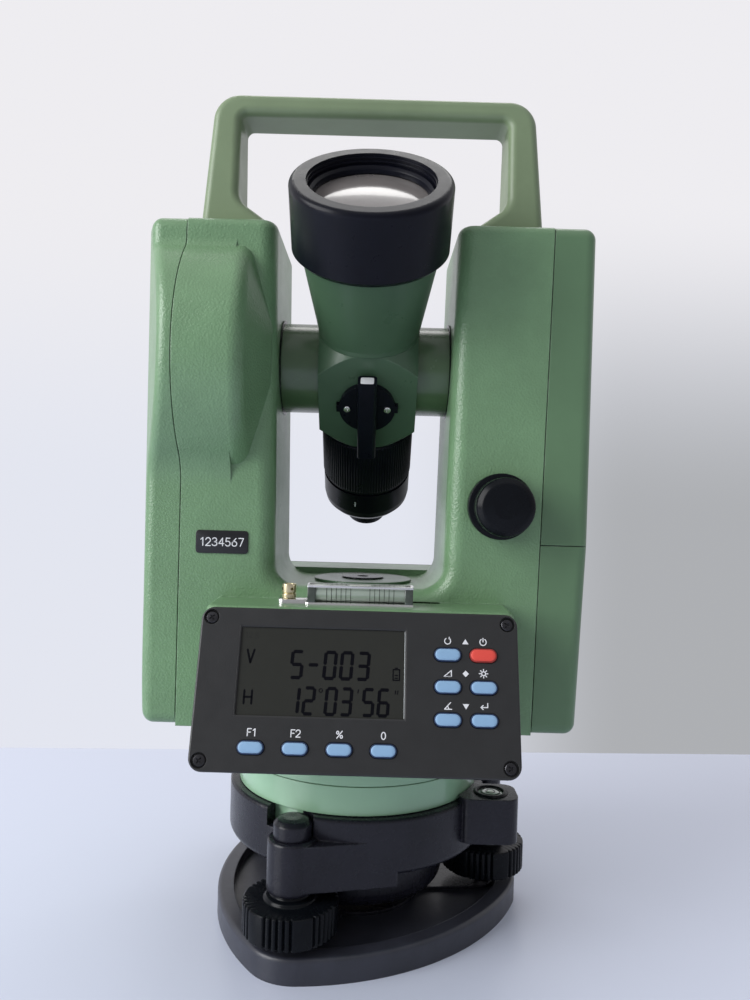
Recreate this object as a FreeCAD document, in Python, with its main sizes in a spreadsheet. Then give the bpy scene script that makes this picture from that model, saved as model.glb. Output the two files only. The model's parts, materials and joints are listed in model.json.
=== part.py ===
import FreeCAD, Part
import os
import re

import Sketcher

# Electronic theodolite on its three-screw base.
#
# Frame: +Z up along the vertical axis, -Y towards the observer at the keypad, +X to the right.
# The origin is the mouth of the tripod thread, in the middle of the underside of the base plate.
#
# Every size below is a cell of the document's spreadsheet. Sizes and places are written as
# expressions of those cells, and each sub-part is one labelled object of the document.

VEC = FreeCAD.Vector
X_AXIS = VEC(1, 0, 0)
Y_AXIS = VEC(0, 1, 0)
Z_AXIS = VEC(0, 0, 1)
TOUCH = 1e-3

SIZES = {
    # Base plate and tripod thread
    "plate_thickness": 9.3,
    "plate_floor": 5.5,
    "plate_rim": 6.5,
    "plate_side_radius": 96.5,
    "plate_side_offset": 39.9,
    "plate_corner_radius": 20.0,
    "plate_edge_radius": 1.6,
    "thread_radius": 6.75,
    "bush_radius": 14.9,
    "bush_flange_radius": 18.0,
    "bush_top": 11.0,
    "spring_thickness": 1.2,
    # Footscrews
    "foot_circle": 54.5,
    "foot_start_angle": -114.0,
    "foot_pivot_radius": 3.5,
    "foot_seat_height": 4.0,
    "foot_knob_radius": 17.3,
    "foot_knob_low": 12.9,
    "foot_knob_top": 24.2,
    "foot_collar_radius": 7.2,
    "foot_screw_radius": 5.0,
    "foot_screw_top": 50.0,
    "running_gap": 0.06,
    "foot_cap_radius": 7.0,
    # Tribrach
    "hub_radius": 36.0,
    "hub_low": 12.0,
    "ring_low": 32.0,
    "ring_radius": 52.5,
    "ring_top": 53.0,
    "cup_radius": 46.8,
    "cup_floor": 40.0,
    "arm_low": 27.0,
    "arm_top": 46.0,
    "arm_half_width": 9.0,
    "boss_left": 39.5,
    "boss_right": 62.5,
    "boss_front": -34.5,
    "boss_back": -17.0,
    "boss_low": 38.0,
    "boss_top": 55.0,
    "round_level_x": 52.3,
    "round_level_y": -26.0,
    "round_level_radius": 6.6,
    # Vertical axis
    "sleeve_radius": 14.4,
    "sleeve_top": 56.0,
    "spindle_radius": 9.0,
    "spindle_bore": 3.5,
    "housing_radius": 49.0,
    "housing_split": 64.0,
    "housing_wall": 4.0,
    "circle_thickness": 2.0,
    "level_circle_radius": 40.0,
    # Alidade
    "frame_low": 79.0,
    "frame_top": 274.0,
    "frame_half_depth": 31.0,
    "frame_wall": 3.5,
    "cover_half_width": 86.4,
    "cover_taper": 2.7,
    "flank_half_depth": 22.0,
    "flank_run": 17.1,
    "flank_depth": 45.0,
    "left_seam": 70.0,
    "right_seam_low": 66.3,
    "right_seam_top": 70.0,
    "battery_top": 152.0,
    "seam_gap": 0.3,
    "window_left_top": 36.1,
    "window_left_low": 33.8,
    "window_right_top": 33.6,
    "window_right_low": 31.3,
    "saddle_top": 133.5,
    "window_corner": 9.0,
    "window_edge": 6.5,
    "bulge_radius": 52.0,
    "bulge_inner": 46.0,
    "bulge_rim": 5.0,
    "bulge_fade": 9.0,
    "bulge_fillet": 18.0,
    "cover_edge": 4.5,
    "cover_wall": 2.2,
    # Display housings and panels
    "panel_width": 110.5,
    "panel_height": 53.34,
    "panel_drop": 1.8,
    "rear_panel_height": 60.8,
    "panel_thickness": 3.2,
    "panel_tilt": 20.4,
    "panel_foot": 75.0,
    "panel_corner": 4.5,
    "housing_top": 129.0,
    "rear_housing_top": 136.0,
    "lcd_width": 58.0,
    "lcd_height": 31.0,
    "lcd_left": 13.8,
    "lcd_top": 6.2,
    "screw_margin": 3.6,
    "screw_sink_radius": 2.65,
    "screw_head_radius": 2.2,
    "key_gap": 0.2,
    "key_rise": 1.0,
    # Trunnion axis and telescope
    "trunnion_height": 221.4,
    "telescope_tilt": 43.0,
    "trunnion_radius": 18.3,
    "trunnion_left_end": 34.7,
    "trunnion_right_end": 32.3,
    "axle_radius": 10.0,
    "bearing_radius": 16.0,
    "scope_half": 19.75,
    "scope_rear": -25.0,
    "scope_front": 19.6,
    "rear_tube_radius": 15.0,
    "rear_tube_bore": 12.0,
    "hood_radius": 29.4,
    "hood_start": 53.8,
    "hood_end": 80.9,
    "hood_aperture": 23.2,
    "lens_depth": 5.5,
    "focus_radius": 20.0,
    "focus_end": -54.0,
    "ocular_radius": 19.7,
    "ocular_end": -72.0,
    "eyepiece_radius": 9.0,
    "eyepiece_end": -83.0,
    "sight_radius": 11.25,
    "sight_width": 7.5,
    "sight_drop": 3.3,
    "vertical_circle_radius": 40.0,
    # Clamps and tangent screws
    "clamp_x": 51.6,
    "clamp_height": 166.5,
    "rear_clamp_height": 156.0,
    "clamp_hub_radius": 8.0,
    "clamp_radius": 12.5,
    "tangent_shaft_radius": 5.0,
    "tangent_radius": 10.85,
    "plummet_height": 71.5,
    # Handle
    "handle_top": 331.0,
    "handle_grip_low": 322.5,
    "handle_half_top": 65.0,
    "handle_half_foot": 69.0,
    "handle_inner": 54.4,
    "handle_foot_inner": 42.5,
    "handle_foot_depth": 15.0,
    "handle_top_depth": 10.0,
}

# Centre of each key from the panel's left edge and from the housing's foot, with its length and height.
KEYS = {
    "key_face": (20.4, 6.3, 9.0, 4.5),
    "key_hold": (35.1, 6.3, 9.0, 4.5),
    "key_percent": (49.8, 6.3, 9.0, 4.5),
    "key_zero": (64.5, 6.3, 9.0, 4.5),
    "key_repeat": (86.0, 38.7, 9.4, 4.7),
    "key_power": (98.3, 38.7, 9.4, 4.7),
    "key_slope": (86.0, 27.8, 9.4, 4.7),
    "key_light": (98.3, 27.8, 9.4, 4.7),
    "key_angle": (86.0, 16.9, 9.4, 4.7),
    "key_enter": (98.3, 16.9, 9.4, 4.7),
}

doc = FreeCAD.newDocument("Theodolite")
sheet = doc.addObject("Spreadsheet::Sheet", "dims")
subparts = []


def fill_sheet():
    for row, (alias, number) in enumerate(SIZES.items(), start=1):
        sheet.set("A%d" % row, alias.replace("_", " "))
        sheet.set("B%d" % row, str(number))
        sheet.setAlias("B%d" % row, alias)
    doc.recompute()


def expr(text):
    """The same expression with every alias written as a cell of the sheet."""
    return re.sub(r"[a-z]\w*", lambda word: "dims." + word[0] if word[0] in SIZES else word[0], str(text))


def value(text):
    """Number that an expression gives, in millimetres or degrees."""
    return float(sheet.evalExpression(expr(text)))


def bind(item, **sizes):
    for name, text in sizes.items():
        item.setExpression(name, expr(text))
    return item


def place(item, at=(0, 0, 0), turn=None):
    item.Placement = FreeCAD.Placement(VEC(0, 0, 0), turn or FreeCAD.Rotation())
    for axis, text in zip("xyz", at):
        item.setExpression("Placement.Base." + axis, expr(text))
    return item


def subpart(item, label):
    item.Label = label
    subparts.append(item)
    return item


# Directions that turned pieces and rods can point along.
ALONG = {
    "+X": FreeCAD.Rotation(Y_AXIS, 90),
    "-X": FreeCAD.Rotation(Y_AXIS, -90),
    "+Y": FreeCAD.Rotation(X_AXIS, -90),
    "-Y": FreeCAD.Rotation(X_AXIS, 90),
    "+Z": FreeCAD.Rotation(),
}


def box(name, low, high):
    """Block between two corners."""
    item = doc.addObject("Part::Box", name)
    bind(
        item,
        Length="(%s) - (%s)" % (high[0], low[0]),
        Width="(%s) - (%s)" % (high[1], low[1]),
        Height="(%s) - (%s)" % (high[2], low[2]),
    )
    return place(item, low)


def rod(name, radius, length, at=(0, 0, 0), along="+Z"):
    item = doc.addObject("Part::Cylinder", name)
    bind(item, Radius=radius, Height=length)
    return place(item, at, ALONG[along])


def cut(name, base, *tools):
    item = doc.addObject("Part::Cut", name)
    item.Base = base
    item.Tool = tools[0] if len(tools) == 1 else fuse(name + "_tools", *tools)
    return item


def fuse(name, *pieces):
    item = doc.addObject("Part::MultiFuse", name)
    item.Shapes = list(pieces)
    return item


def common(name, *pieces):
    item = doc.addObject("Part::MultiCommon", name)
    item.Shapes = list(pieces)
    return item


def group(name, pieces):
    """Separate solids kept together as one node."""
    item = doc.addObject("Part::Compound", name)
    item.Links = list(pieces)
    return item


def drawn_body(name, plane, points):
    """Body with one sketch: a closed outline whose corners are all bound to the sheet."""
    body = doc.addObject("PartDesign::Body", name)
    sketch = body.newObject("Sketcher::SketchObject", name + "_outline")
    origin_plane = [item for item in body.Origin.OriginFeatures if item.Role == plane][0]
    sketch.AttachmentSupport = (origin_plane, [""])
    sketch.MapMode = "FlatFace"
    corners = [VEC(value(across), value(up), 0) for across, up in points]
    following = corners[1:] + corners[:1]
    for start, end in zip(corners, following):
        sketch.addGeometry(Part.LineSegment(start, end), False)
    for index, point in enumerate(points):
        after = (index + 1) % len(points)
        sketch.addConstraint(Sketcher.Constraint("Coincident", index, 2, after, 1))
        for kind, text in zip(("DistanceX", "DistanceY"), point):
            number = sketch.addConstraint(Sketcher.Constraint(kind, -1, 1, index, 1, value(text)))
            sketch.setExpression("Constraints[%d]" % number, expr(text))
    return body, sketch


def turned(name, profile, at=(0, 0, 0), along="+Z"):
    """Piece turned about its own Z axis from (radius, height) corners."""
    body, sketch = drawn_body(name, "XZ_Plane", profile)
    revolution = body.newObject("PartDesign::Revolution", name + "_turning")
    revolution.Profile = sketch
    revolution.ReferenceAxis = (sketch, ["V_Axis"])
    revolution.Angle = 360
    turn = ALONG[along] if isinstance(along, str) else along
    return place(body, at, turn)


def prism(name, plane, points, depth):
    """Outline padded by half of depth to each side of its plane."""
    body, sketch = drawn_body(name, plane, points)
    pad = body.newObject("PartDesign::Pad", name + "_pad")
    pad.Profile = sketch
    pad.SideType = "Symmetric"
    bind(pad, Length=depth)
    return body


def soften(body, radius, wanted):
    """Fillet on every edge of the body's last feature for which wanted(edge) holds."""
    doc.recompute()
    feature = body.Tip
    names = ["Edge%d" % (index + 1) for index, edge in enumerate(feature.Shape.Edges) if wanted(edge)]
    fillet = body.newObject("PartDesign::Fillet", body.Name + "_fillet")
    fillet.Base = (feature, names)
    bind(fillet, Radius=radius)
    return body


def soften_part(name, base, radius, wanted):
    """The same for a boolean result."""
    doc.recompute()
    number = value(radius)
    chosen = [index + 1 for index, edge in enumerate(base.Shape.Edges) if wanted(edge)]
    item = doc.addObject("Part::Fillet", name)
    item.Base = base
    item.Edges = [(index, number, number) for index in chosen]
    return item


def bounding(base, wanted_face):
    """Test for the edges of the flat faces for which wanted_face(normal) holds."""
    doc.recompute()
    found = []
    for face in base.Shape.Faces:
        if face.Surface.TypeId == "Part::GeomPlane" and wanted_face(face.normalAt(0, 0)):
            found += face.Edges
    return lambda edge: any(edge.isSame(other) for other in found)


def runs_along(edge, axis):
    box_of = edge.BoundBox
    spans = {"X": box_of.XLength, "Y": box_of.YLength, "Z": box_of.ZLength}
    others = sum(span for name, span in spans.items() if name != axis)
    return spans[axis] > TOUCH and others < TOUCH


def near(number, text):
    return abs(number - value(text)) < 0.02


def lies_at(edge, axis, text):
    """Whether the whole edge lies in the plane where that coordinate has the given value."""
    box_of = edge.BoundBox
    low = getattr(box_of, axis + "Min")
    high = getattr(box_of, axis + "Max")
    return near(low, text) and near(high, text)


def around(radius, angle):
    """Expressions for a point on a circle about the vertical axis."""
    return "(%s) * cos(%s)" % (radius, angle), "(%s) * sin(%s)" % (radius, angle)


FOOT_ANGLES = ["foot_start_angle + %d" % step for step in (0, 120, 240)]


def plate_outline(name, inset, low, high):
    """Rounded triangle with bulged sides: three overlapping discs with softened corners."""
    discs = []
    for index, angle in enumerate(FOOT_ANGLES):
        x, y = around("plate_side_offset", angle)
        radius = "plate_side_radius - %s" % inset
        discs.append(rod("%s_side_%d" % (name, index), radius, "(%s) - (%s)" % (high, low), (x, y, low)))
    blank = common(name + "_blank", *discs)
    return soften_part(name, blank, "plate_corner_radius - %s" % inset, lambda edge: runs_along(edge, "Z"))


def make_base_plate():
    blank = plate_outline("plate_outer", 0, 0, "plate_thickness")
    rounded = soften_part(
        "plate_rounded", blank, "plate_edge_radius",
        lambda edge: lies_at(edge, "Z", "plate_thickness"),
    )
    dish = plate_outline("plate_dish", "plate_rim", "plate_floor", "plate_thickness + 1")
    centre = rod("plate_centre_hole", "bush_radius + 0.1", "plate_thickness")
    seats = []
    for index, angle in enumerate(FOOT_ANGLES):
        x, y = around("foot_circle", angle)
        radius = "foot_pivot_radius + running_gap"
        seats.append(rod("plate_seat_%d" % index, radius, "plate_floor", (x, y, "foot_seat_height")))
    subpart(cut("base_plate_cut", rounded, dish, centre, *seats), "base_plate")


def make_spring_plate():
    arms = [rod("spring_centre", 27, "spring_thickness", (0, 0, "plate_floor"))]
    holes = [rod("spring_hole", "bush_flange_radius + 0.3", "plate_thickness")]
    for index, angle in enumerate(FOOT_ANGLES):
        x, y = around(51.5, angle)
        arms.append(rod("spring_end_%d" % index, 8, "spring_thickness", (x, y, "plate_floor")))
        arm = doc.addObject("Part::Box", "spring_arm_%d" % index)
        bind(arm, Length=51.5, Width=16, Height="spring_thickness")
        side_x, side_y = around(8, "%s - 90" % angle)
        place(arm, (side_x, side_y, "plate_floor"), FreeCAD.Rotation(Z_AXIS, value(angle)))
        arms.append(arm)
        x, y = around("foot_circle", angle)
        holes.append(rod("spring_foot_hole_%d" % index, 4.4, "plate_thickness", (x, y, 0)))
    subpart(cut("spring_plate_cut", fuse("spring_blank", *arms), *holes), "spring_plate")


def make_tripod_bush():
    profile = [
        ("thread_radius", 0),
        ("bush_radius", 0),
        ("bush_radius", "plate_floor"),
        ("bush_flange_radius", "plate_floor"),
        ("bush_flange_radius", "plate_floor + 3"),
        (12, "plate_floor + 3"),
        (12, "bush_top"),
        ("thread_radius", "bush_top"),
    ]
    subpart(turned("tripod_bush_body", profile), "tripod_bush")


def make_footscrews():
    profile = [
        (0, "foot_seat_height + 0.05"),
        ("foot_pivot_radius", "foot_seat_height + 0.05"),
        ("foot_pivot_radius", "foot_knob_low"),
        ("foot_knob_radius - 1", "foot_knob_low"),
        ("foot_knob_radius", "foot_knob_low + 1"),
        ("foot_knob_radius", "foot_knob_top - 1"),
        ("foot_knob_radius - 1", "foot_knob_top"),
        (9.2, "foot_knob_top"),
        (9.2, "foot_knob_top + 1.3"),
        ("foot_collar_radius", "foot_knob_top + 1.3"),
        ("foot_collar_radius", "arm_low - 0.2"),
        ("foot_screw_radius", "arm_low - 0.2"),
        ("foot_screw_radius", "foot_screw_top"),
        (0, "foot_screw_top"),
    ]
    for index, angle in enumerate(FOOT_ANGLES, start=1):
        x, y = around("foot_circle", angle)
        subpart(turned("footscrew_body_%d" % index, profile, (x, y, 0)), "footscrew_%d" % index)


def make_footscrew_caps():
    profile = [
        ("foot_screw_radius + 0.4", "arm_top"),
        ("foot_cap_radius", "arm_top"),
        ("foot_cap_radius", "ring_top - 0.8"),
        ("foot_cap_radius - 0.8", "ring_top"),
        (0, "ring_top"),
        (0, "foot_screw_top + 1"),
        ("foot_screw_radius + 0.4", "foot_screw_top + 1"),
    ]
    caps = []
    for index, angle in enumerate(FOOT_ANGLES):
        x, y = around("foot_circle", angle)
        caps.append(turned("footscrew_cap_%d" % index, profile, (x, y, 0)))
    subpart(group("footscrew_cap_group", caps), "footscrew_caps")


def tribrach_casting():
    """Cup with a barrel-shaped hub under it."""
    profile = [
        (0, "hub_low"),
        ("hub_radius", "hub_low"),
        ("hub_radius", "ring_low"),
        ("ring_radius", "ring_low"),
        ("ring_radius", "ring_top"),
        (0, "ring_top"),
    ]
    casting = turned("tribrach_casting", profile)
    soften(casting, 5.5, lambda edge: lies_at(edge, "Z", "hub_low"))
    soften(casting, 3.5, lambda edge: lies_at(edge, "Z", "ring_low") and edge.BoundBox.XLength > 100)
    return soften(casting, 1.2, lambda edge: lies_at(edge, "Z", "ring_top"))


def tribrach_arm(index, angle):
    """One arm, ending in the rounded block that holds a footscrew."""
    arm = doc.addObject("Part::Box", "arm_bar_%d" % index)
    bind(arm, Length="foot_circle", Width="2 * arm_half_width", Height="arm_top - arm_low")
    side_x, side_y = around("arm_half_width", "%s - 90" % angle)
    place(arm, (side_x, side_y, "arm_low"), FreeCAD.Rotation(Z_AXIS, value(angle)))
    x, y = around("foot_circle", angle)
    tip = rod("arm_tip_%d" % index, "arm_half_width", "arm_top - arm_low", (x, y, "arm_low"))
    whole = fuse("arm_%d" % index, arm, tip)
    return soften_part(
        "arm_soft_%d" % index, whole, 1.2,
        lambda edge: lies_at(edge, "Z", "arm_top") or lies_at(edge, "Z", "arm_low"),
    )


def tribrach_apron(index, angle):
    """Web that carries an arm's outer face round into the ring."""
    x, y = around("foot_circle", angle)
    tip_x, tip_y = around("arm_half_width", "%s + 55" % angle)
    plan = [
        around(40, angle),
        ("%s + %s" % (x, tip_x), "%s + %s" % (y, tip_y)),
        around("ring_radius - 0.2", "%s + 42" % angle),
        around(40, "%s + 30" % angle),
    ]
    name = "arm_apron_%d" % index
    span = box(name + "_span", (-80, -80, "arm_low + 1.5"), (80, 80, "arm_top - 1"))
    return common(name, prism(name + "_web", "XY_Plane", plan, 200), span)


def make_tribrach_body():
    boss = soften_part(
        "level_boss",
        box(
            "level_boss_block",
            ("boss_left", "boss_front", "boss_low"), ("boss_right", "boss_back", "boss_top"),
        ),
        5, lambda edge: runs_along(edge, "Z"),
    )
    arms = [tribrach_arm(index, angle) for index, angle in enumerate(FOOT_ANGLES)]
    aprons = [tribrach_apron(index, angle) for index, angle in enumerate(FOOT_ANGLES)]
    solid = fuse("tribrach_solid", tribrach_casting(), boss, *arms, *aprons)
    level = ("round_level_x", "round_level_y", "boss_top - 5")
    tools = [
        rod("cup_space", "cup_radius", 20, (0, 0, "cup_floor")),
        rod("housing_space", "housing_radius + 0.5", 20, (0, 0, "ring_top")),
        rod("axis_space", "sleeve_radius + 0.2", 60),
        rod("level_space", "round_level_radius + 0.1", 8, level),
    ]
    for index, angle in enumerate(FOOT_ANGLES):
        x, y = around("foot_circle", angle)
        radius = "foot_screw_radius + running_gap"
        tools.append(rod("screw_hole_%d" % index, radius, 40, (x, y, "arm_low - 1")))
        tools.append(rod("cap_space_%d" % index, "foot_cap_radius + 0.5", 20, (x, y, "arm_top")))
        notch = doc.addObject("Part::Box", "ring_notch_%d" % index)
        bind(notch, Length=20, Width=13, Height=20)
        near_x, near_y = around(42, angle)
        side_x, side_y = around(13, "%s - 90" % angle)
        corner = ("%s + %s" % (near_x, side_x), "%s + %s" % (near_y, side_y), "arm_top")
        place(notch, corner, FreeCAD.Rotation(Z_AXIS, value(angle)))
        tools.append(notch)
    subpart(cut("tribrach_cut", solid, *tools), "tribrach_body")


def make_round_level():
    at = ("round_level_x", "round_level_y", 0)
    profile = [
        (0, "boss_top - 4.9"),
        ("round_level_radius", "boss_top - 4.9"),
        ("round_level_radius", "boss_top + 0.3"),
        ("round_level_radius - 1.2", "boss_top + 0.6"),
        (0, "boss_top + 0.8"),
    ]
    subpart(turned("round_level_body", profile, at), "circular_level")


def make_lower_housing():
    inner = "housing_radius - housing_wall - 0.5"
    profile = [
        ("sleeve_radius + 0.4", "cup_floor + 0.1"),
        ("cup_radius - 0.4", "cup_floor + 0.1"),
        ("cup_radius - 0.4", "ring_top + 0.3"),
        ("housing_radius", "ring_top + 0.3"),
        ("housing_radius", "housing_split - 0.3"),
        (inner, "housing_split - 0.3"),
        (inner, "cup_floor + 4"),
        ("sleeve_radius + 0.4", "cup_floor + 4"),
    ]
    subpart(turned("lower_housing_body", profile), "lower_housing")


def make_axis_sleeve():
    bore = "spindle_radius + running_gap"
    profile = [
        (bore, "hub_low"),
        ("sleeve_radius", "hub_low"),
        ("sleeve_radius", "sleeve_top - 3"),
        (20, "sleeve_top - 3"),
        (20, "sleeve_top"),
        (bore, "sleeve_top"),
    ]
    subpart(turned("axis_sleeve_body", profile), "axis_sleeve")


def make_horizontal_circle():
    top = "sleeve_top + circle_thickness"
    profile = [
        (12, "sleeve_top"),
        ("level_circle_radius", "sleeve_top"),
        ("level_circle_radius", top),
        (12, top),
    ]
    subpart(turned("horizontal_circle_body", profile), "horizontal_circle")


def make_vertical_spindle():
    profile = [
        ("spindle_bore", 16),
        ("spindle_radius", 16),
        ("spindle_radius", "housing_split + 6"),
        (20, "housing_split + 6"),
        (20, "frame_low - 5"),
        ("spindle_bore", "frame_low - 5"),
    ]
    subpart(turned("vertical_spindle_body", profile), "vertical_spindle")


def make_alidade_ring():
    inner = "housing_radius - housing_wall"
    profile = [
        (6, "frame_low - 5"),
        (inner, "frame_low - 5"),
        (inner, "housing_split"),
        ("housing_radius", "housing_split"),
        ("housing_radius", "frame_low"),
        (6, "frame_low"),
    ]
    ring = turned("alidade_ring_body", profile)
    boss = rod("plummet_boss", 6.3, 12, (0, "housing_radius - 3", "plummet_height"), "+Y")
    bore = rod("plummet_bore", "4 + running_gap", 30, (0, 40, "plummet_height"), "+Y")
    subpart(cut("alidade_ring_cut", fuse("alidade_ring_solid", ring, boss), bore), "alidade_ring")


def make_plummet_eyepiece():
    """Sight tube of the optical plummet, at the back of the alidade ring."""
    profile = [
        (2.5, 0),
        (4, 0),
        (4, 11.3),
        (7.2, 11.3),
        (7.2, 21),
        (6.2, 22.5),
        (2.5, 22.5),
    ]
    at = (0, "housing_radius - 2", "plummet_height")
    subpart(turned("plummet_eyepiece_body", profile, at, "+Y"), "plummet_eyepiece")


def left_section(name, inner_x, inset):
    """Left standard with its round circle housing, from inner_x outwards, inset on all sides."""
    outer_x = "-cover_half_width + %s" % inset
    half = "frame_half_depth - %s" % inset
    low = (outer_x, "-(%s)" % half, "frame_low + %s" % inset)
    high = (inner_x, half, "frame_top - %s" % inset)
    post = box(name + "_post", low, high)
    at = (outer_x, 0, "trunnion_height")
    drum = rod(name + "_drum", "bulge_radius - %s" % inset, "%s - (%s)" % (inner_x, outer_x), at, "+X")
    return fuse(name, post, drum)


def left_trim(name, inset):
    """Space within the left cover's outer faces: a flat flank that slants away in front and behind."""
    outer = "-cover_half_width + %s" % inset
    slant = "flank_half_depth + flank_depth"
    plan = [
        (outer, "-flank_half_depth"),
        (outer + " + flank_run", "-(%s)" % slant),
        (0, "-(%s)" % slant),
        (0, slant),
        (outer + " + flank_run", slant),
        (outer, "flank_half_depth"),
    ]
    return prism(name, "XY_Plane", plan, 700)


def left_lean():
    """Space within the left cover's outer face, which leans in towards the foot."""
    outline = [
        ("-cover_half_width + cover_taper", "frame_low"),
        (0, "frame_low"),
        (0, "frame_top"),
        ("-cover_half_width", "frame_top"),
    ]
    return prism("left_lean", "XZ_Plane", outline, 200)


def left_blank():
    """Solid of the left standard and cover together, with its outer edges rounded."""
    whole = left_section("left_whole", "-bulge_inner - bulge_rim", 0)
    flank = soften_part(
        "left_flank", whole, "bulge_fillet",
        lambda edge: runs_along(edge, "X") and 175 < edge.BoundBox.ZMin < 185,
    )
    shoulder = soften_part(
        "left_shoulder", flank, 5,
        lambda edge: runs_along(edge, "X") and 255 < edge.BoundBox.ZMin < 270,
    )
    corners = soften_part(
        "left_corners", shoulder, 5,
        lambda edge: runs_along(edge, "X")
        and (near(edge.BoundBox.ZMin, "frame_top") or near(edge.BoundBox.ZMin, "frame_low")),
    )
    trimmed = common("left_trimmed", corners, left_trim("left_trim", 0), left_lean())
    return soften_part(
        "left_blank", trimmed, "cover_edge", bounding(trimmed, lambda normal: normal.x < -0.3)
    )


def right_blank():
    """Solid of the right-hand cover and battery box together."""
    outline = [
        ("right_seam_low + seam_gap", "frame_low"),
        ("cover_half_width - cover_taper", "frame_low"),
        ("cover_half_width", "battery_top"),
        ("cover_half_width", "frame_top"),
        ("right_seam_top + seam_gap", "frame_top"),
    ]
    body = prism("right_blank", "XZ_Plane", outline, "2 * frame_half_depth")
    outer = value("cover_half_width - cover_taper") - TOUCH

    def outer_upright(edge):
        upright = edge.BoundBox.ZLength > 50 and edge.BoundBox.YLength < TOUCH
        return upright and edge.BoundBox.XMax > outer

    def end_edge(edge):
        at_end = lies_at(edge, "Z", "frame_top") or lies_at(edge, "Z", "frame_low")
        return at_end and edge.BoundBox.XMax > value("right_seam_top + 1")

    soften(body, "cover_edge", outer_upright)
    return soften(body, 4.5, end_edge)


def make_left_cover(blank):
    keep = box("left_cover_side", (-100, -70, 60), ("-left_seam - seam_gap", 70, 300))
    section = left_section("left_cover_space", "-left_seam + 1", "cover_wall")
    hollow = common("left_cover_hollow", section, left_trim("left_cover_trim", "cover_wall + cover_taper"))
    subpart(cut("left_cover_cut", common("left_cover_solid", blank, keep), hollow), "left_cover")


def right_hollow(name, low, high, lean):
    """Space inside the right-hand covers between two heights; its outer wall leans in at the foot."""
    inner = "cover_half_width - cover_wall"
    outline = [(50, low), ("%s - (%s)" % (inner, lean), low), (inner, high), (50, high)]
    return prism(name, "XZ_Plane", outline, "2 * (frame_half_depth - cover_wall)")


def make_right_covers(blank):
    upper = box("right_cover_side", (50, -40, "battery_top + 0.15"), (100, 40, 300))
    lower = box("battery_box_side", (50, -40, 60), (100, 40, "battery_top - 0.15"))
    upper_hollow = right_hollow(
        "right_cover_hollow", "battery_top + cover_wall", "frame_top - cover_wall", 0
    )
    lower_hollow = right_hollow(
        "battery_hollow", "frame_low + cover_wall", "battery_top - cover_wall", "cover_taper"
    )
    subpart(cut("right_cover_cut", common("right_cover_solid", blank, upper), upper_hollow), "right_cover")
    subpart(cut("battery_box_cut", common("battery_box_solid", blank, lower), lower_hollow), "battery_box")


def make_battery_cells():
    cells = []
    for index in range(4):
        height = "frame_low + 13.5 + %s" % (15 * index)
        x = "right_seam_low + 7.6 + %s" % (0.3 * index)
        cells.append(rod("battery_cell_%d" % index, 7.0, 50, (x, -25, height), "+Y"))
    subpart(group("battery_cell_group", cells), "battery_cells")


def frame_uprights():
    """The U of saddle and standards, with the window's edges rounded."""
    outline = [
        ("-left_seam", "frame_low"),
        ("right_seam_low", "frame_low"),
        ("right_seam_top", "frame_top"),
        ("window_right_top", "frame_top"),
        ("window_right_low", "saddle_top"),
        ("-window_left_low", "saddle_top"),
        ("-window_left_top", "frame_top"),
        ("-left_seam", "frame_top"),
    ]
    body = prism("frame_uprights", "XZ_Plane", outline, "2 * frame_half_depth")
    soften(body, "window_corner", lambda edge: runs_along(edge, "Y") and lies_at(edge, "Z", "saddle_top"))

    def window_edge(edge):
        at_face = lies_at(edge, "Y", "frame_half_depth") or lies_at(edge, "Y", "-frame_half_depth")
        inside = abs(edge.BoundBox.Center.x) < value("window_left_top + 0.1")
        above = edge.BoundBox.ZMax < value("frame_top + 1") and edge.BoundBox.ZMin > value("saddle_top - 1")
        return at_face and inside and above

    soften(body, "window_edge", window_edge)
    return soften(
        body, 3.5,
        lambda edge: lies_at(edge, "Z", "frame_top") and not runs_along(edge, "Y"),
    )


def display_housing(name, side, top):
    """Sloping housing behind a display panel; side is -1 at the front and 1 at the back."""
    foot = "(panel_foot - panel_thickness / cos(panel_tilt))"
    ridge = "%s - (%s - frame_low) * tan(panel_tilt)" % (foot, top)
    points = [(24, "frame_low"), (foot, "frame_low"), (ridge, top), (24, top)]
    outline = [("%d * (%s)" % (side, y), z) for y, z in points]
    body = prism(name, "YZ_Plane", outline, "panel_width")
    soften(body, "panel_corner", lambda edge: edge.BoundBox.XLength < TOUCH and edge.BoundBox.ZLength > 40
           and abs(edge.BoundBox.Center.y) > 30)
    return soften(body, 2.0, lambda edge: lies_at(edge, "Z", top) and abs(edge.BoundBox.Center.y) > 26)


def housing_hollow(name, side, top):
    """Space for the display and its board, open towards the panel."""
    ridge = "panel_foot - (%s - frame_low) * tan(panel_tilt)" % top
    low = "frame_low + 4"
    high = "%s - 3.5" % top
    points = [(20, low), ("panel_foot", low), (ridge, high), (20, high)]
    outline = [("%d * (%s)" % (side, y), z) for y, z in points]
    return prism(name, "YZ_Plane", outline, "panel_width - 7")


def drum_scoop():
    """Inner end of the round housing, rounded over and fading into the standard."""
    profile = [
        (0, 0),
        ("bulge_radius", 0),
        ("bulge_radius", "bulge_rim"),
        ("frame_half_depth", "bulge_rim + bulge_fade"),
        (0, "bulge_rim + bulge_fade"),
    ]
    body = turned("drum_scoop", profile, ("-bulge_inner - bulge_rim", 0, "trunnion_height"), "+X")
    rim = value("bulge_rim")
    return soften(
        body, 6, lambda edge: abs(edge.BoundBox.ZMin - rim) < TOUCH and edge.BoundBox.ZLength < TOUCH
    )


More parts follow.
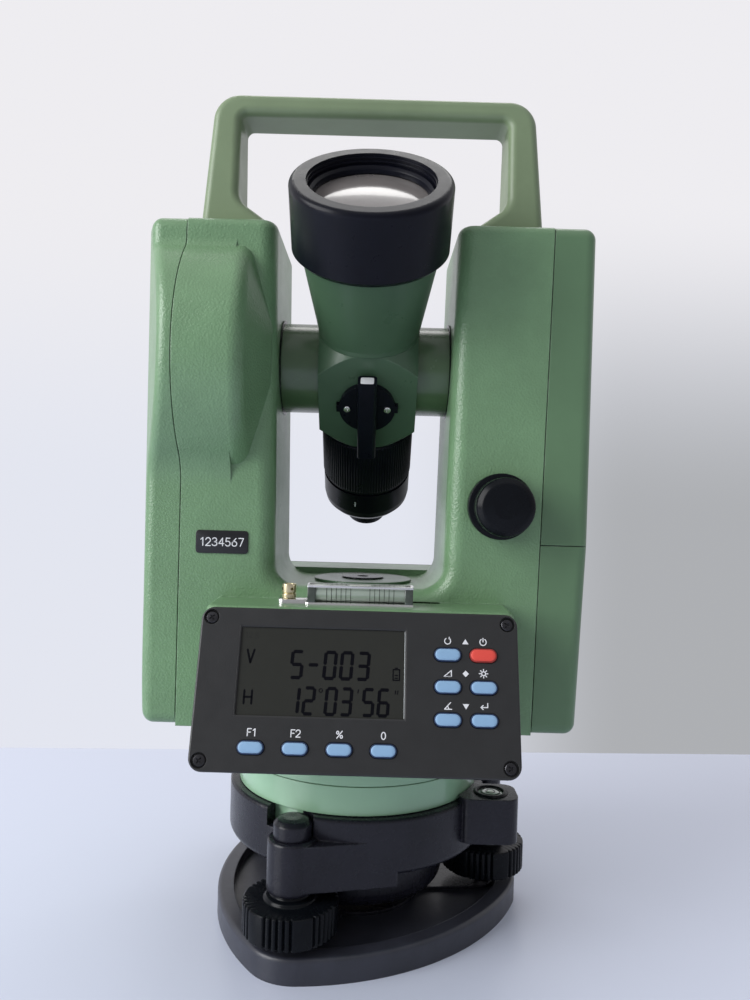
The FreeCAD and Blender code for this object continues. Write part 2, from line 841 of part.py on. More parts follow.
def make_alidade_frame(blank):
    left_side = common(
        "frame_left_drum", blank, box("frame_left_side", ("-left_seam", -70, 60), (0, 70, 300))
    )
    solid = fuse(
        "frame_solid", frame_uprights(), left_side, drum_scoop(),
        display_housing("front_housing", -1, "housing_top"),
        display_housing("rear_housing", 1, "rear_housing_top"),
    )
    left_inner = "window_left_top + frame_wall"
    right_inner = "window_right_top + frame_wall"
    half = "frame_half_depth - frame_wall"
    drum_at = ("-left_seam - 1", 0, "trunnion_height")
    drum_length = "left_seam + 1 - bulge_inner - frame_wall"
    wall = "frame_low + frame_wall + 0.5"
    ceiling = "frame_top - frame_wall"
    clamp_bore = "clamp_hub_radius + running_gap"
    tools = [
        box("left_space", (-90, "-(%s)" % half, wall), ("-(%s)" % left_inner, half, ceiling)),
        rod("drum_space", "bulge_radius - frame_wall", drum_length, drum_at, "+X"),
        box("right_space", (right_inner, "-(%s)" % half, "battery_top + 4"), (90, half, ceiling)),
        box("right_low_space", (right_inner, "-(%s)" % half, wall), (59, half, "battery_top")),
        box("saddle_space", (-30, -34, wall), (30, 34, "saddle_top - 4.5")),
        housing_hollow("front_hollow", -1, "housing_top"),
        housing_hollow("rear_hollow", 1, "rear_housing_top"),
        rod("axis_opening", 6, 10, (0, 0, "frame_low - 1")),
        rod("bearing_space", "bearing_radius + 0.05", 100, (-50, 0, "trunnion_height"), "+X"),
        rod("front_clamp_hole", clamp_bore, 12, ("clamp_x", -20, "clamp_height"), "-Y"),
        rod("rear_clamp_hole", clamp_bore, 12, ("clamp_x", 20, "rear_clamp_height"), "+Y"),
    ]
    for side in (-1, 1):
        tools.append(rod("handle_screw_hole_%d" % side, 2.1, 20, ("%d * 47.5" % side, 0, "frame_top - 10")))
    subpart(cut("alidade_frame_cut", solid, *tools), "alidade_frame")


def handle_outline():
    half = [
        ("handle_half_foot", "frame_top"),
        ("handle_half_top", "handle_top"),
        ("-handle_half_top", "handle_top"),
        ("-handle_half_foot", "frame_top"),
        ("-handle_foot_inner", "frame_top"),
        ("-handle_foot_inner", "frame_top + 4.5"),
        ("-handle_inner", "frame_top + 13"),
        ("-handle_inner", "handle_grip_low"),
        ("handle_inner", "handle_grip_low"),
        ("handle_inner", "frame_top + 13"),
        ("handle_foot_inner", "frame_top + 4.5"),
        ("handle_foot_inner", "frame_top"),
    ]
    return half


def make_handle():
    front = prism("handle_front", "XZ_Plane", handle_outline(), "2 * handle_foot_depth")
    soften(front, 11, lambda edge: runs_along(edge, "Y") and lies_at(edge, "Z", "handle_top"))
    soften(front, 3, lambda edge: runs_along(edge, "Y") and lies_at(edge, "Z", "handle_grip_low"))
    soften(front, 8, lambda edge: runs_along(edge, "Y") and lies_at(edge, "Z", "frame_top + 13"))
    side = prism(
        "handle_side", "YZ_Plane",
        [
            ("-handle_foot_depth", "frame_top"),
            ("handle_foot_depth", "frame_top"),
            ("handle_top_depth", "handle_top"),
            ("-handle_top_depth", "handle_top"),
        ],
        200,
    )
    loop = common("handle_loop", front, side)
    soft = soften_part(
        "handle_soft", loop, 3.2,
        lambda edge: edge.BoundBox.ZMax > value("frame_top + 0.5") and not runs_along(edge, "Y")
        and abs(edge.BoundBox.Center.y) > 5,
    )
    tools = []
    for side_sign in (-1, 1):
        x = "%d * 47.5" % side_sign
        tools.append(rod("handle_screw_bore_%d" % side_sign, 2.2, 20, (x, 0, "frame_top - 5")))
        tools.append(rod("handle_screw_sink_%d" % side_sign, 3.7, 20, (x, 0, "frame_top + 3")))
    subpart(cut("handle_cut", soft, *tools), "handle")


def make_handle_screws():
    profile = [
        (0, "frame_top - 8"),
        (2, "frame_top - 8"),
        (2, "frame_top + 3"),
        (3.4, "frame_top + 3"),
        (3.4, "frame_top + 6"),
        (0, "frame_top + 6"),
    ]
    screws = [turned("handle_screw_%d" % side, profile, ("%d * 47.5" % side, 0, 0)) for side in (-1, 1)]
    subpart(group("handle_screw_group", screws), "handle_screws")


# A panel's own frame: X to the reader's right, Y up the sloping face, Z out of it.
def panel_turn(side):
    lean = FreeCAD.Rotation(X_AXIS, 90 - value("panel_tilt"))
    return lean if side < 0 else FreeCAD.Rotation(Z_AXIS, 180) * lean


def on_panel(item, side):
    """Moves a piece drawn in a panel's own frame to the front or the back housing."""
    item.Placement = FreeCAD.Placement(VEC(0, 0, 0), panel_turn(side))
    bind(item, **{"Placement.Base.y": "%d * panel_foot" % side, "Placement.Base.z": "frame_low"})
    return item


def stadium(name, centre, size, low, high, grow=0):
    """Round-ended block in a panel's frame."""
    across, up = centre
    length, width = size
    straight = (length - width) / 2
    radius = width / 2 + grow
    block = box(
        name + "_middle",
        (across - straight, up - radius, low), (across + straight, up + radius, high),
    )
    tall = "(%s) - (%s)" % (high, low)
    ends = [
        rod("%s_end_%d" % (name, side), radius, tall, (across + side * straight, up, low))
        for side in (-1, 1)
    ]
    return fuse(name, block, *ends)


def key_place(key):
    from_left, from_foot, length, width = KEYS[key]
    return (from_left - SIZES["panel_width"] / 2, from_foot), (length, width)


def screw_places(height):
    half = "(panel_width / 2 - screw_margin)"
    return [
        ("%d * %s" % (side, half), up)
        for side in (-1, 1)
        for up in ("screw_margin - panel_drop", "%s - screw_margin" % height)
    ]


def panel_blank(name, height):
    half = "panel_width / 2"
    outline = [("-" + half, "-panel_drop"), (half, "-panel_drop"), (half, height), ("-" + half, height)]
    body, sketch = drawn_body(name, "XY_Plane", outline)
    pad = body.newObject("PartDesign::Pad", name + "_pad")
    pad.Profile = sketch
    pad.Reversed = True
    bind(pad, Length="panel_thickness")
    soften(body, "panel_corner", lambda edge: runs_along(edge, "Z"))
    return soften(body, 0.7, lambda edge: lies_at(edge, "Z", 0))


def lcd_corner(height):
    return "-panel_width / 2 + lcd_left", "%s - lcd_top - lcd_height" % height


def make_panel(label, side, height, keys):
    """Moulded panel with its display window, screw sinks and key holes."""
    left, foot = lcd_corner(height)
    window = box(label + "_window", (left, foot, -10), (left + " + lcd_width", foot + " + lcd_height", 5))
    tools = [window]
    for index, (across, up) in enumerate(screw_places(height)):
        tools.append(rod("%s_sink_%d" % (label, index), "screw_sink_radius", 5, (across, up, -1.2)))
        tools.append(rod("%s_hole_%d" % (label, index), 1.3, 10, (across, up, -6)))
    for key in keys:
        centre, size = key_place(key)
        tools.append(stadium("%s_for_%s" % (label, key), centre, size, -10, 5, SIZES["key_gap"]))
    panel = cut(label + "_cut", panel_blank(label + "_blank", height), *tools)
    subpart(on_panel(panel, side), label)


def make_display(label, side, height):
    """Liquid-crystal module: the glass in the window and its carrier behind the panel."""
    left, foot = lcd_corner(height)
    glass = box(
        label + "_glass",
        (left + " + 0.2", foot + " + 0.2", "-panel_thickness - 0.1"),
        (left + " + lcd_width - 0.2", foot + " + lcd_height - 0.2", -0.7),
    )
    carrier = box(
        label + "_carrier",
        (left + " - 3", foot + " - 2", "-panel_thickness - 3.2"),
        (left + " + lcd_width + 3", foot + " + lcd_height + 2", "-panel_thickness - 0.1"),
    )
    subpart(on_panel(fuse(label + "_module", glass, carrier), side), label)


def make_circuit_board():
    board = box(
        "board_sheet", (-48, 9.5, "-panel_thickness - 8"), (48, "panel_height - 6", "-panel_thickness - 6.4")
    )
    subpart(on_panel(group("board_place", [board]), -1), "circuit_board")


def make_panel_screws():
    profile = [
        (0, -3),
        (1.2, -3),
        (1.2, -1.2),
        ("screw_head_radius", -1.2),
        ("screw_head_radius", -0.3),
        (0, -0.3),
    ]
    screws = []
    for side, height in ((-1, "panel_height"), (1, "rear_panel_height")):
        for across, up in screw_places(height):
            name = "panel_screw_%d" % len(screws)
            screw = turned(name, profile, (across, up, 0))
            holder = group(name + "_place", [screw])
            screws.append(on_panel(holder, side))
    subpart(group("panel_screw_group", screws), "panel_screws")


def make_keys():
    for key in KEYS:
        centre, size = key_place(key)
        subpart(on_panel(stadium(key + "_cap", centre, size, -2.4, "key_rise"), -1), key)


def make_plate_level():
    low = "housing_top"
    body = box("plate_level_block", (-19.7, -46.7, low), (19.3, -39.3, low + " + 7.4"))
    lug = box("plate_level_lug", (-30.2, -46.2, low), (-19.7, -39.8, low + " + 2"))
    bore = rod("plate_level_bore", 3.1, 35, (-17.7, -43, low + " + 4.2"), "+X")
    opening = box("plate_level_opening", (-14.7, -45.2, low + " + 4.2"), (14.3, -40.8, low + " + 9"))
    screw_hole = rod("plate_level_screw_hole", 1.6, 10, (-26.4, -43, low + " - 1"))
    frame = cut("plate_level_cut", fuse("plate_level_solid", body, lug), bore, opening, screw_hole)
    subpart(frame, "plate_level_frame")
    subpart(rod("plate_level_glass", 3, 34, (-17.2, -43, low + " + 4.2"), "+X"), "plate_level_vial")
    profile = [
        (0, low + " + 0.1"),
        (1.5, low + " + 0.1"),
        (1.5, low + " + 2.1"),
        (2.6, low + " + 2.1"),
        (2.6, low + " + 7.2"),
        (0, low + " + 7.2"),
    ]
    screw = turned("plate_level_screw_body", profile, (-26.4, -43, 0))
    subpart(screw, "plate_level_screw")


def make_saddle_cover():
    profile = [
        (0, "saddle_top"),
        (20.2, "saddle_top"),
        (20.2, "saddle_top + 0.6"),
        (19.6, "saddle_top + 1"),
        (4, "saddle_top + 1"),
        (4, "saddle_top + 1.7"),
        (0, "saddle_top + 1.7"),
    ]
    subpart(turned("saddle_cover_body", profile), "saddle_cover")


def make_trunnion_bearings():
    inner = "axle_radius + running_gap"
    rings = []
    for name, along in (("left", "-X"), ("right", "+X")):
        start = "trunnion_%s_end + 1" % name
        profile = [(inner, start), ("bearing_radius", start), ("bearing_radius", 43), (inner, 43)]
        rings.append(turned("trunnion_bearing_" + name, profile, (0, 0, "trunnion_height"), along))
    subpart(group("trunnion_bearing_group", rings), "trunnion_bearings")


def make_circle_reader():
    """Fork that reads the vertical circle, on a bracket from the standard's inner wall."""
    fork = box("reader_fork", (-61, -9, 170), (-51, 9, 200))
    bracket = box("reader_bracket", (-51, -9, 166), ("-(window_left_top + frame_wall)", 9, 176))
    slot = box("reader_slot", (-58.6, -10, 178), (-53.4, 10, 201))
    subpart(cut("circle_reader_cut", fuse("circle_reader_solid", fork, bracket), slot), "circle_reader")


# The telescope's own frame: Z towards the objective, X along the trunnion axis.
SCOPE_TURN = FreeCAD.Rotation(X_AXIS, SIZES["telescope_tilt"])
SCOPE_AT = (0, 0, "trunnion_height")


def on_scope(item):
    return place(item, SCOPE_AT, SCOPE_TURN)


def scope_turned(name, profile):
    return turned(name, profile, SCOPE_AT, SCOPE_TURN)


def make_telescope_block():
    """Square centre block with turned ends, and the tube that carries the eyepiece end."""
    square = box(
        "scope_square",
        ("-scope_half", "-scope_half", "scope_rear"), ("scope_half", "scope_half", "scope_front"),
    )
    waist = [
        (0, "scope_rear"),
        (20.4, "scope_rear"),
        (28.2, "scope_rear + 9"),
        (28.2, "scope_front - 9"),
        (20.4, "scope_front"),
        (0, "scope_front"),
    ]
    core = common("scope_core", square, turned("scope_waist", waist))
    tube = rod("scope_tube", "rear_tube_radius", 50, (0, 0, "ocular_end + 2"))
    bore = rod("scope_bore", "rear_tube_bore", 120, (0, 0, -90))
    block = cut("scope_block_cut", fuse("scope_block_solid", core, tube), bore)
    subpart(on_scope(block), "telescope_block")


def make_objective():
    tube = [
        (16.5, "scope_front"),
        (20.4, "scope_front"),
        (20.4, "scope_front + 2"),
        (26, "hood_start"),
        (26, "hood_start + 4"),
        (22.5, "hood_start + 4"),
        (22.5, "hood_start - 4"),
    ]
    subpart(scope_turned("objective_tube_body", tube), "objective_tube")
    hood = [
        (26.1, "hood_start"),
        ("hood_radius - 2", "hood_start"),
        ("hood_radius", "hood_start + 2"),
        ("hood_radius", "hood_end"),
        ("hood_aperture", "hood_end"),
        ("hood_aperture", "hood_end - lens_depth"),
        (24.1, "hood_end - lens_depth"),
        (24.1, "hood_start + 4.2"),
        (26.1, "hood_start + 4.2"),
    ]
    body = scope_turned("objective_hood_body", hood)
    front = value("hood_end")
    soften(body, 2.2, lambda edge: abs(edge.BoundBox.ZMin - front) < TOUCH and edge.BoundBox.XLength > 50)
    subpart(body, "objective_hood")
    glass = [
        (0, "hood_end - lens_depth - 9.4"),
        (14, "hood_end - lens_depth - 8.4"),
        (24, "hood_end - lens_depth - 6"),
        (24, "hood_end - lens_depth - 2.2"),
        (14, "hood_end - lens_depth - 0.6"),
        (0, "hood_end - lens_depth"),
    ]
    subpart(scope_turned("objective_lens_body", glass), "objective_lens")


def make_focus_ring():
    inner = "rear_tube_radius + running_gap"
    profile = [
        (inner, "focus_end"),
        ("focus_radius - 0.6", "focus_end"),
        ("focus_radius", "focus_end + 0.6"),
        ("focus_radius", "scope_rear - 0.9"),
        ("focus_radius - 0.6", "scope_rear - 0.3"),
        (inner, "scope_rear - 0.3"),
    ]
    subpart(scope_turned("focus_ring_body", profile), "focus_ring")


def make_focusing_lens():
    profile = [
        (0, -45),
        ("rear_tube_bore - 0.1", -45),
        ("rear_tube_bore - 0.1", -41),
        (0, -41),
    ]
    subpart(scope_turned("focusing_lens_body", profile), "focusing_lens")


def make_eyepiece_end():
    shell = [
        (7.06, "ocular_end"),
        (12.5, "ocular_end"),
        ("ocular_radius - 2.4", "ocular_end + 1.4"),
        ("ocular_radius - 0.5", "ocular_end + 4"),
        ("ocular_radius", "ocular_end + 7"),
        ("ocular_radius", "focus_end - 0.3"),
        ("rear_tube_radius + 0.1", "focus_end - 0.3"),
        ("rear_tube_radius + 0.1", "ocular_end + 2"),
        (7.06, "ocular_end + 2"),
    ]
    subpart(scope_turned("eyepiece_housing_body", shell), "eyepiece_housing")
    eyepiece = [
        (4.5, "eyepiece_end"),
        ("eyepiece_radius - 0.8", "eyepiece_end"),
        ("eyepiece_radius", "eyepiece_end + 0.8"),
        ("eyepiece_radius", "ocular_end - 0.3"),
        (7, "ocular_end - 0.3"),
        (7, "ocular_end + 12"),
        (4.5, "ocular_end + 12"),
    ]
    subpart(scope_turned("eyepiece_body", eyepiece), "eyepiece")


def make_trunnion_axles():
    axles = []
    for name, along in (("left", "-X"), ("right", "+X")):
        end = "trunnion_%s_end" % name
        profile = [
            (0, "scope_half"),
            ("trunnion_radius", "scope_half"),
            ("trunnion_radius", end),
            ("axle_radius", end),
            ("axle_radius", 60),
            (0, 60),
        ]
        axles.append(turned("trunnion_axle_" + name, profile, SCOPE_AT, along))
    subpart(group("trunnion_axle_group", axles), "trunnion_axles")


def make_vertical_circle():
    profile = [
        ("axle_radius + 0.1", 55),
        ("vertical_circle_radius", 55),
        ("vertical_circle_radius", 57),
        ("axle_radius + 0.1", 57),
    ]
    subpart(turned("vertical_circle_body", profile, SCOPE_AT, "-X"), "vertical_circle")


def peep_sight(name, side):
    """Sight on one face of the centre block: round foot with two ears, and the sighting tube."""
    face = "%d * scope_half" % side
    along = "+Y" if side > 0 else "-Y"
    foot = rod(name + "_foot", "sight_radius", 2.5, (0, face, "-sight_drop"), along)
    near_y = "scope_half" if side > 0 else "-scope_half - 2.5"
    ears = box(
        name + "_ears",
        (-12.4, near_y, "-sight_drop - 1.6"), (12.4, near_y + " + 2.5", "1.6 - sight_drop"),
    )
    bar_y = "scope_half + 2" if side > 0 else "-scope_half - 8.5"
    bar = box(
        name + "_bar", ("-sight_width / 2", bar_y, -24.5), ("sight_width / 2", bar_y + " + 6.5", 12.5)
    )
    stem = soften_part(name + "_stem", bar, 1.5, lambda edge: runs_along(edge, "Z"))
    return fuse(name, foot, ears, stem)


def make_sights():
    sights = [peep_sight("sight_front", -1), peep_sight("sight_back", 1)]
    subpart(on_scope(group("sight_group", sights)), "peep_sights")
    heads = []
    for side, along in ((-1, "-Y"), (1, "+Y")):
        for across in (-8, 8):
            at = (across, "%d * (scope_half + 2.5)" % side, "-sight_drop")
            heads.append(rod("sight_screw_%d" % len(heads), 1.5, 0.8, at, along))
    subpart(on_scope(group("sight_screw_group", heads)), "sight_screws")


def make_clamp_pair(name, height, side):
    """Clamp ring and the tangent screw that runs through it; side is -1 at the front, 1 behind."""
    at = ("clamp_x", "%d * frame_half_depth" % side, height)
    along = "+Y" if side > 0 else "-Y"
    bore = "tangent_shaft_radius + running_gap"
    ring = [
        (bore, -5),
        ("clamp_hub_radius", -5),
        ("clamp_hub_radius", 0.3),
        (10, 0.3),
        (10, 2),
        ("clamp_radius - 0.5", 2),
        ("clamp_radius", 2.5),
        ("clamp_radius", 6.5),
        ("clamp_radius - 0.5", 7),
        (bore, 7),
    ]
    subpart(turned(name + "_clamp_body", ring, at, along), name + "_clamp")
    screw = [
        (0, -7.5),
        ("tangent_shaft_radius", -7.5),
        ("tangent_shaft_radius", 7.2),
        ("tangent_radius - 0.5", 7.2),
        ("tangent_radius", 7.7),
        ("tangent_radius", 17.4),
        ("tangent_radius - 1.6", 19),
        (0, 19.4),
    ]
    subpart(turned(name + "_tangent_body", screw, at, along), name + "_tangent")


def build():
    fill_sheet()
    make_base_plate()
    make_spring_plate()
    make_tripod_bush()
    make_tribrach_body()
    make_footscrews()
    make_footscrew_caps()
    make_round_level()
    make_lower_housing()
    make_axis_sleeve()
    make_horizontal_circle()
    make_vertical_spindle()
    make_alidade_ring()
    make_plummet_eyepiece()
    left = left_blank()
    right = right_blank()
    make_alidade_frame(left)
    make_left_cover(left)
    make_right_covers(right)
    make_battery_cells()
    make_handle()
    make_handle_screws()
    make_panel("front_panel", -1, "panel_height", KEYS)
    make_panel("rear_panel", 1, "rear_panel_height", [])
    make_display("front_display", -1, "panel_height")
    make_display("rear_display", 1, "rear_panel_height")
    make_circuit_board()
    make_panel_screws()
    make_keys()
    make_plate_level()
    make_saddle_cover()
    make_trunnion_bearings()
    make_circle_reader()
    make_telescope_block()
    make_objective()
    make_focus_ring()
    make_focusing_lens()
    make_eyepiece_end()
    make_trunnion_axles()
    make_vertical_circle()
    make_sights()
    make_clamp_pair("vertical", "clamp_height", -1)
    make_clamp_pair("horizontal", "rear_clamp_height", 1)
    doc.recompute()


def check():
    """Stops before writing if any object failed or any sub-part is not a sound solid."""
    for item in doc.Objects:
        if "Invalid" in item.State or "Error" in item.State:
            raise RuntimeError("%s did not compute" % item.Name)
    for item in subparts:
        if item.Shape.isNull() or not item.Shape.isValid() or not item.Shape.Solids:
            raise RuntimeError("%s has no sound solid" % item.Label)


def export():
    os.makedirs("parts", exist_ok=True)
    for item in subparts:
        item.Shape.exportStep("parts/%s.step" % item.Label)
        size = item.Shape.BoundBox
        print("%-20s %9.0f mm3  x %7.2f %7.2f  y %7.2f %7.2f  z %7.2f %7.2f" % (
            item.Label, item.Shape.Volume, size.XMin, size.XMax, size.YMin, size.YMax, size.ZMin, size.ZMax))


build()
check()
export()
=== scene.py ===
import json
import math

import bmesh
import bpy
from mathutils import Matrix, Vector


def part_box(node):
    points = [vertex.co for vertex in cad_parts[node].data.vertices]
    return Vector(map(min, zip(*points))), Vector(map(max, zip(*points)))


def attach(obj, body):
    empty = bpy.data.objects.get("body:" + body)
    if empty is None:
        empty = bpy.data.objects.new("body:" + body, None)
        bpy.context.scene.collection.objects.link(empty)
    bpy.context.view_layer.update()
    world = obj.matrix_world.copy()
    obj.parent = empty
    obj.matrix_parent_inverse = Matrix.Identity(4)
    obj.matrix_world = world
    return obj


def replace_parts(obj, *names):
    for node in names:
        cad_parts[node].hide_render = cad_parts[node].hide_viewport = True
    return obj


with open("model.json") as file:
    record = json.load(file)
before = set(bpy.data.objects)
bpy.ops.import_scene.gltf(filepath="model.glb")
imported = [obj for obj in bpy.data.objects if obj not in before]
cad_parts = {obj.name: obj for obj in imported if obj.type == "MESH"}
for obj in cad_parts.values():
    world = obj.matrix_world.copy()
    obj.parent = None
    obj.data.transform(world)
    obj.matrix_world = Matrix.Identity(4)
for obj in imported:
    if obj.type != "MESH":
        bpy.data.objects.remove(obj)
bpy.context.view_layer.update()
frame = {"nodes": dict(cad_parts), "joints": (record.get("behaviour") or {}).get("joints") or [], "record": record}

NODES = frame["nodes"]
JOINTS = {joint["name"]: joint for joint in frame["joints"]}
MM = 0.001
TURN = math.tau


# -------------------- materials

def node(tree, kind, settings=None, **inputs):
    """Shader node with its inputs set to a number, a colour or another node's socket."""
    made = tree.nodes.new("ShaderNode" + kind)
    for name, value in (settings or {}).items():
        setattr(made, name, value)
    for name, value in inputs.items():
        socket = made.inputs[name.replace("_", " ")]
        if isinstance(value, bpy.types.NodeSocket):
            tree.links.new(value, socket)
        else:
            socket.default_value = value
    return made


def shade(colour, factor):
    return tuple(min(1.0, part * factor) for part in colour) + (1.0,)


def start_material(name):
    material = bpy.data.materials.new(name)
    material.use_nodes = True
    tree = material.node_tree
    shader = tree.nodes["Principled BSDF"]
    place = node(tree, "TexCoord").outputs["Object"]
    return material, tree, shader, place


def set_sockets(shader, sockets):
    for name, value in sockets.items():
        shader.inputs[name.replace("_", " ")].default_value = value


def blotched(tree, place, colour, vary, scale):
    """Colour that drifts a little lighter and darker over the surface."""
    cloud = node(tree, "TexNoise", Vector=place, Scale=scale, Detail=5.0, Roughness=0.6)
    ramp = node(tree, "ValToRGB", Fac=cloud.outputs["Fac"])
    ramp.color_ramp.elements[0].position = 0.3
    ramp.color_ramp.elements[0].color = shade(colour, 1 - vary)
    ramp.color_ramp.elements[1].position = 0.7
    ramp.color_ramp.elements[1].color = shade(colour, 1 + vary)
    return ramp.outputs["Color"]


def between(tree, fac, low, high):
    """Number that follows a 0 to 1 texture between two values."""
    return node(tree, "MapRange", Value=fac, To_Min=low, To_Max=high).outputs["Result"]


def rubbed(tree, place, colour, worn, reach, scale, amount):
    """Shows the worn colour in patches along edges, where the rounded normal leaves the flat one."""
    rounded = node(tree, "Bevel", {"samples": 4}, Radius=reach)
    flat = node(tree, "NewGeometry")
    meet = node(tree, "VectorMath", {"operation": "DOT_PRODUCT"})
    tree.links.new(rounded.outputs["Normal"], meet.inputs[0])
    tree.links.new(flat.outputs["Normal"], meet.inputs[1])
    edge = node(tree, "MapRange", Value=meet.outputs["Value"], From_Min=0.995, From_Max=0.9)
    patch = node(tree, "TexNoise", Vector=place, Scale=scale, Detail=6.0, Roughness=0.7)
    patchy = node(tree, "MapRange", Value=patch.outputs["Fac"], From_Min=0.45, From_Max=0.62)
    both = node(tree, "Math", {"operation": "MULTIPLY"})
    tree.links.new(edge.outputs["Result"], both.inputs[0])
    tree.links.new(patchy.outputs["Result"], both.inputs[1])
    part = node(tree, "Math", {"operation": "MULTIPLY"})
    tree.links.new(both.outputs["Value"], part.inputs[0])
    part.inputs[1].default_value = amount
    mix = node(tree, "MixRGB", Fac=part.outputs["Value"], Color1=colour, Color2=shade(worn, 1))
    return mix.outputs["Color"]


def grained(tree, place, layers, normal=None):
    """Chain of bumps: (texture, scale, strength, height in mm), on top of a normal if one is given."""
    for kind, scale, strength, height in layers:
        if kind == "cells":
            cells = node(tree, "TexVoronoi", {"feature": "SMOOTH_F1"}, Vector=place, Scale=scale,
                         Smoothness=0.6)
            level = cells.outputs["Distance"]
        else:
            level = node(tree, "TexNoise", Vector=place, Scale=scale, Detail=3.0,
                         Roughness=0.55).outputs["Fac"]
        bump = node(tree, "Bump", Strength=strength, Distance=height * MM, Height=level)
        if normal is not None:
            tree.links.new(normal, bump.inputs["Normal"])
        normal = bump.outputs["Normal"]
    return normal


def coated(name, colour, rough, layers, vary=0.06, scale=40.0, rough_vary=0.08, worn=None, edge=0.0,
           **sockets):
    """Paint, enamel or moulded plastic; edge rounds the shading of sharp edges by that many mm."""
    material, tree, shader, place = start_material(name)
    tint = blotched(tree, place, colour, vary, scale)
    if worn:
        tint = rubbed(tree, place, tint, worn[0], worn[1] * MM, 220.0, worn[2])
    tree.links.new(tint, shader.inputs["Base Color"])
    smudge = node(tree, "TexNoise", Vector=place, Scale=scale * 2.3, Detail=4.0, Roughness=0.65)
    level = between(tree, smudge.outputs["Fac"], rough - rough_vary, rough + rough_vary)
    tree.links.new(level, shader.inputs["Roughness"])
    rounded = node(tree, "Bevel", {"samples": 4}, Radius=edge * MM).outputs["Normal"] if edge else None
    tree.links.new(grained(tree, place, layers, rounded), shader.inputs["Normal"])
    set_sockets(shader, sockets)
    return material


def metal(name, colour, rough, scale=500.0, strength=0.15, stretch=(1, 1, 1)):
    """Bare metal with fine machining marks."""
    material, tree, shader, place = start_material(name)
    marks = node(tree, "Mapping", Vector=place, Scale=stretch)
    tint = blotched(tree, place, colour, 0.08, 90.0)
    tree.links.new(tint, shader.inputs["Base Color"])
    wear = node(tree, "TexNoise", Vector=marks.outputs["Vector"], Scale=scale, Detail=4.0, Roughness=0.6)
    level = between(tree, wear.outputs["Fac"], rough * 0.6, rough * 1.5)
    tree.links.new(level, shader.inputs["Roughness"])
    bump = node(tree, "Bump", Strength=strength, Distance=0.05 * MM, Height=wear.outputs["Fac"])
    tree.links.new(bump.outputs["Normal"], shader.inputs["Normal"])
    set_sockets(shader, {"Metallic": 1.0})
    return material


def clear(name, colour, rough, ior, weight=1.0, **sockets):
    """Glass or clear liquid, with faint dust in its roughness."""
    material, tree, shader, place = start_material(name)
    dust = node(tree, "TexNoise", Vector=place, Scale=260.0, Detail=5.0, Roughness=0.7)
    level = between(tree, dust.outputs["Fac"], rough, rough + 0.06)
    tree.links.new(level, shader.inputs["Roughness"])
    shader.inputs["Base Color"].default_value = shade(colour, 1)
    set_sockets(shader, {"IOR": ior, "Transmission Weight": weight, **sockets})
    return material


GREEN = (0.16, 0.285, 0.15)
SPARKLE = [("noise", 260.0, 0.3, 0.25), ("cells", 1250.0, 0.7, 0.17), ("noise", 3000.0, 0.45, 0.07)]
FINE_GRAIN = [("noise", 500.0, 0.25, 0.08), ("cells", 2200.0, 0.3, 0.05)]
SMOOTH_GRAIN = [("noise", 420.0, 0.18, 0.1), ("cells", 1500.0, 0.16, 0.05)]
CAST_GRAIN = [("noise", 300.0, 0.3, 0.14), ("cells", 1300.0, 0.22, 0.06)]

LENS_WAVES = [("noise", 20.0, 0.02, 0.1)]
LIQUID_WAVES = [("noise", 60.0, 0.05, 0.05)]

LOOKS = {}


def define(maker, name, *facts, **sockets):
    """Makes a material and keeps it under its name."""
    LOOKS[name] = maker(name, *facts, **sockets)


define(coated, "green_paint", GREEN, 0.31, SPARKLE, vary=0.07, scale=55.0,
       worn=((0.34, 0.48, 0.34), 0.9, 0.45), edge=0.6, Specular_IOR_Level=0.55)
define(coated, "green_smooth", (0.115, 0.21, 0.11), 0.33, SMOOTH_GRAIN, vary=0.05,
       worn=((0.27, 0.4, 0.28), 0.7, 0.35), edge=0.5)
# Smooth satin green of the telescope and saddle cover, darker than the body green: partly their own finish, partly
# painted shade for the lesser light they get.
define(coated, "scope_green", (0.06, 0.115, 0.065), 0.3, SMOOTH_GRAIN, vary=0.05,
       worn=((0.2, 0.3, 0.2), 0.7, 0.35), edge=0.5)
# Glossy green of the trunnion axles, darkened like the telescope green: partly its own colour, partly painted
# shade.
define(coated, "axle_green", (0.066, 0.12, 0.055), 0.26, SMOOTH_GRAIN, vary=0.08, rough_vary=0.05, edge=0.3,
       Coat_Weight=0.25, Coat_Roughness=0.15)
define(coated, "handle_paint", (0.19, 0.255, 0.145), 0.38,
       [("noise", 350.0, 0.25, 0.12), ("cells", 1300.0, 0.2, 0.06)], vary=0.06,
       worn=((0.3, 0.36, 0.26), 0.8, 0.4), edge=0.6)
define(coated, "ring_paint", (0.3, 0.5, 0.33), 0.24,
       [("noise", 300.0, 0.12, 0.08), ("cells", 1400.0, 0.08, 0.04)], vary=0.04, edge=0.5, Coat_Weight=0.4,
       Coat_Roughness=0.12)
define(coated, "black_casting", (0.011, 0.011, 0.017), 0.27, CAST_GRAIN, vary=0.2, scale=70.0,
       rough_vary=0.08, worn=((0.09, 0.09, 0.11), 0.8, 0.5), edge=0.7, Specular_IOR_Level=0.32)
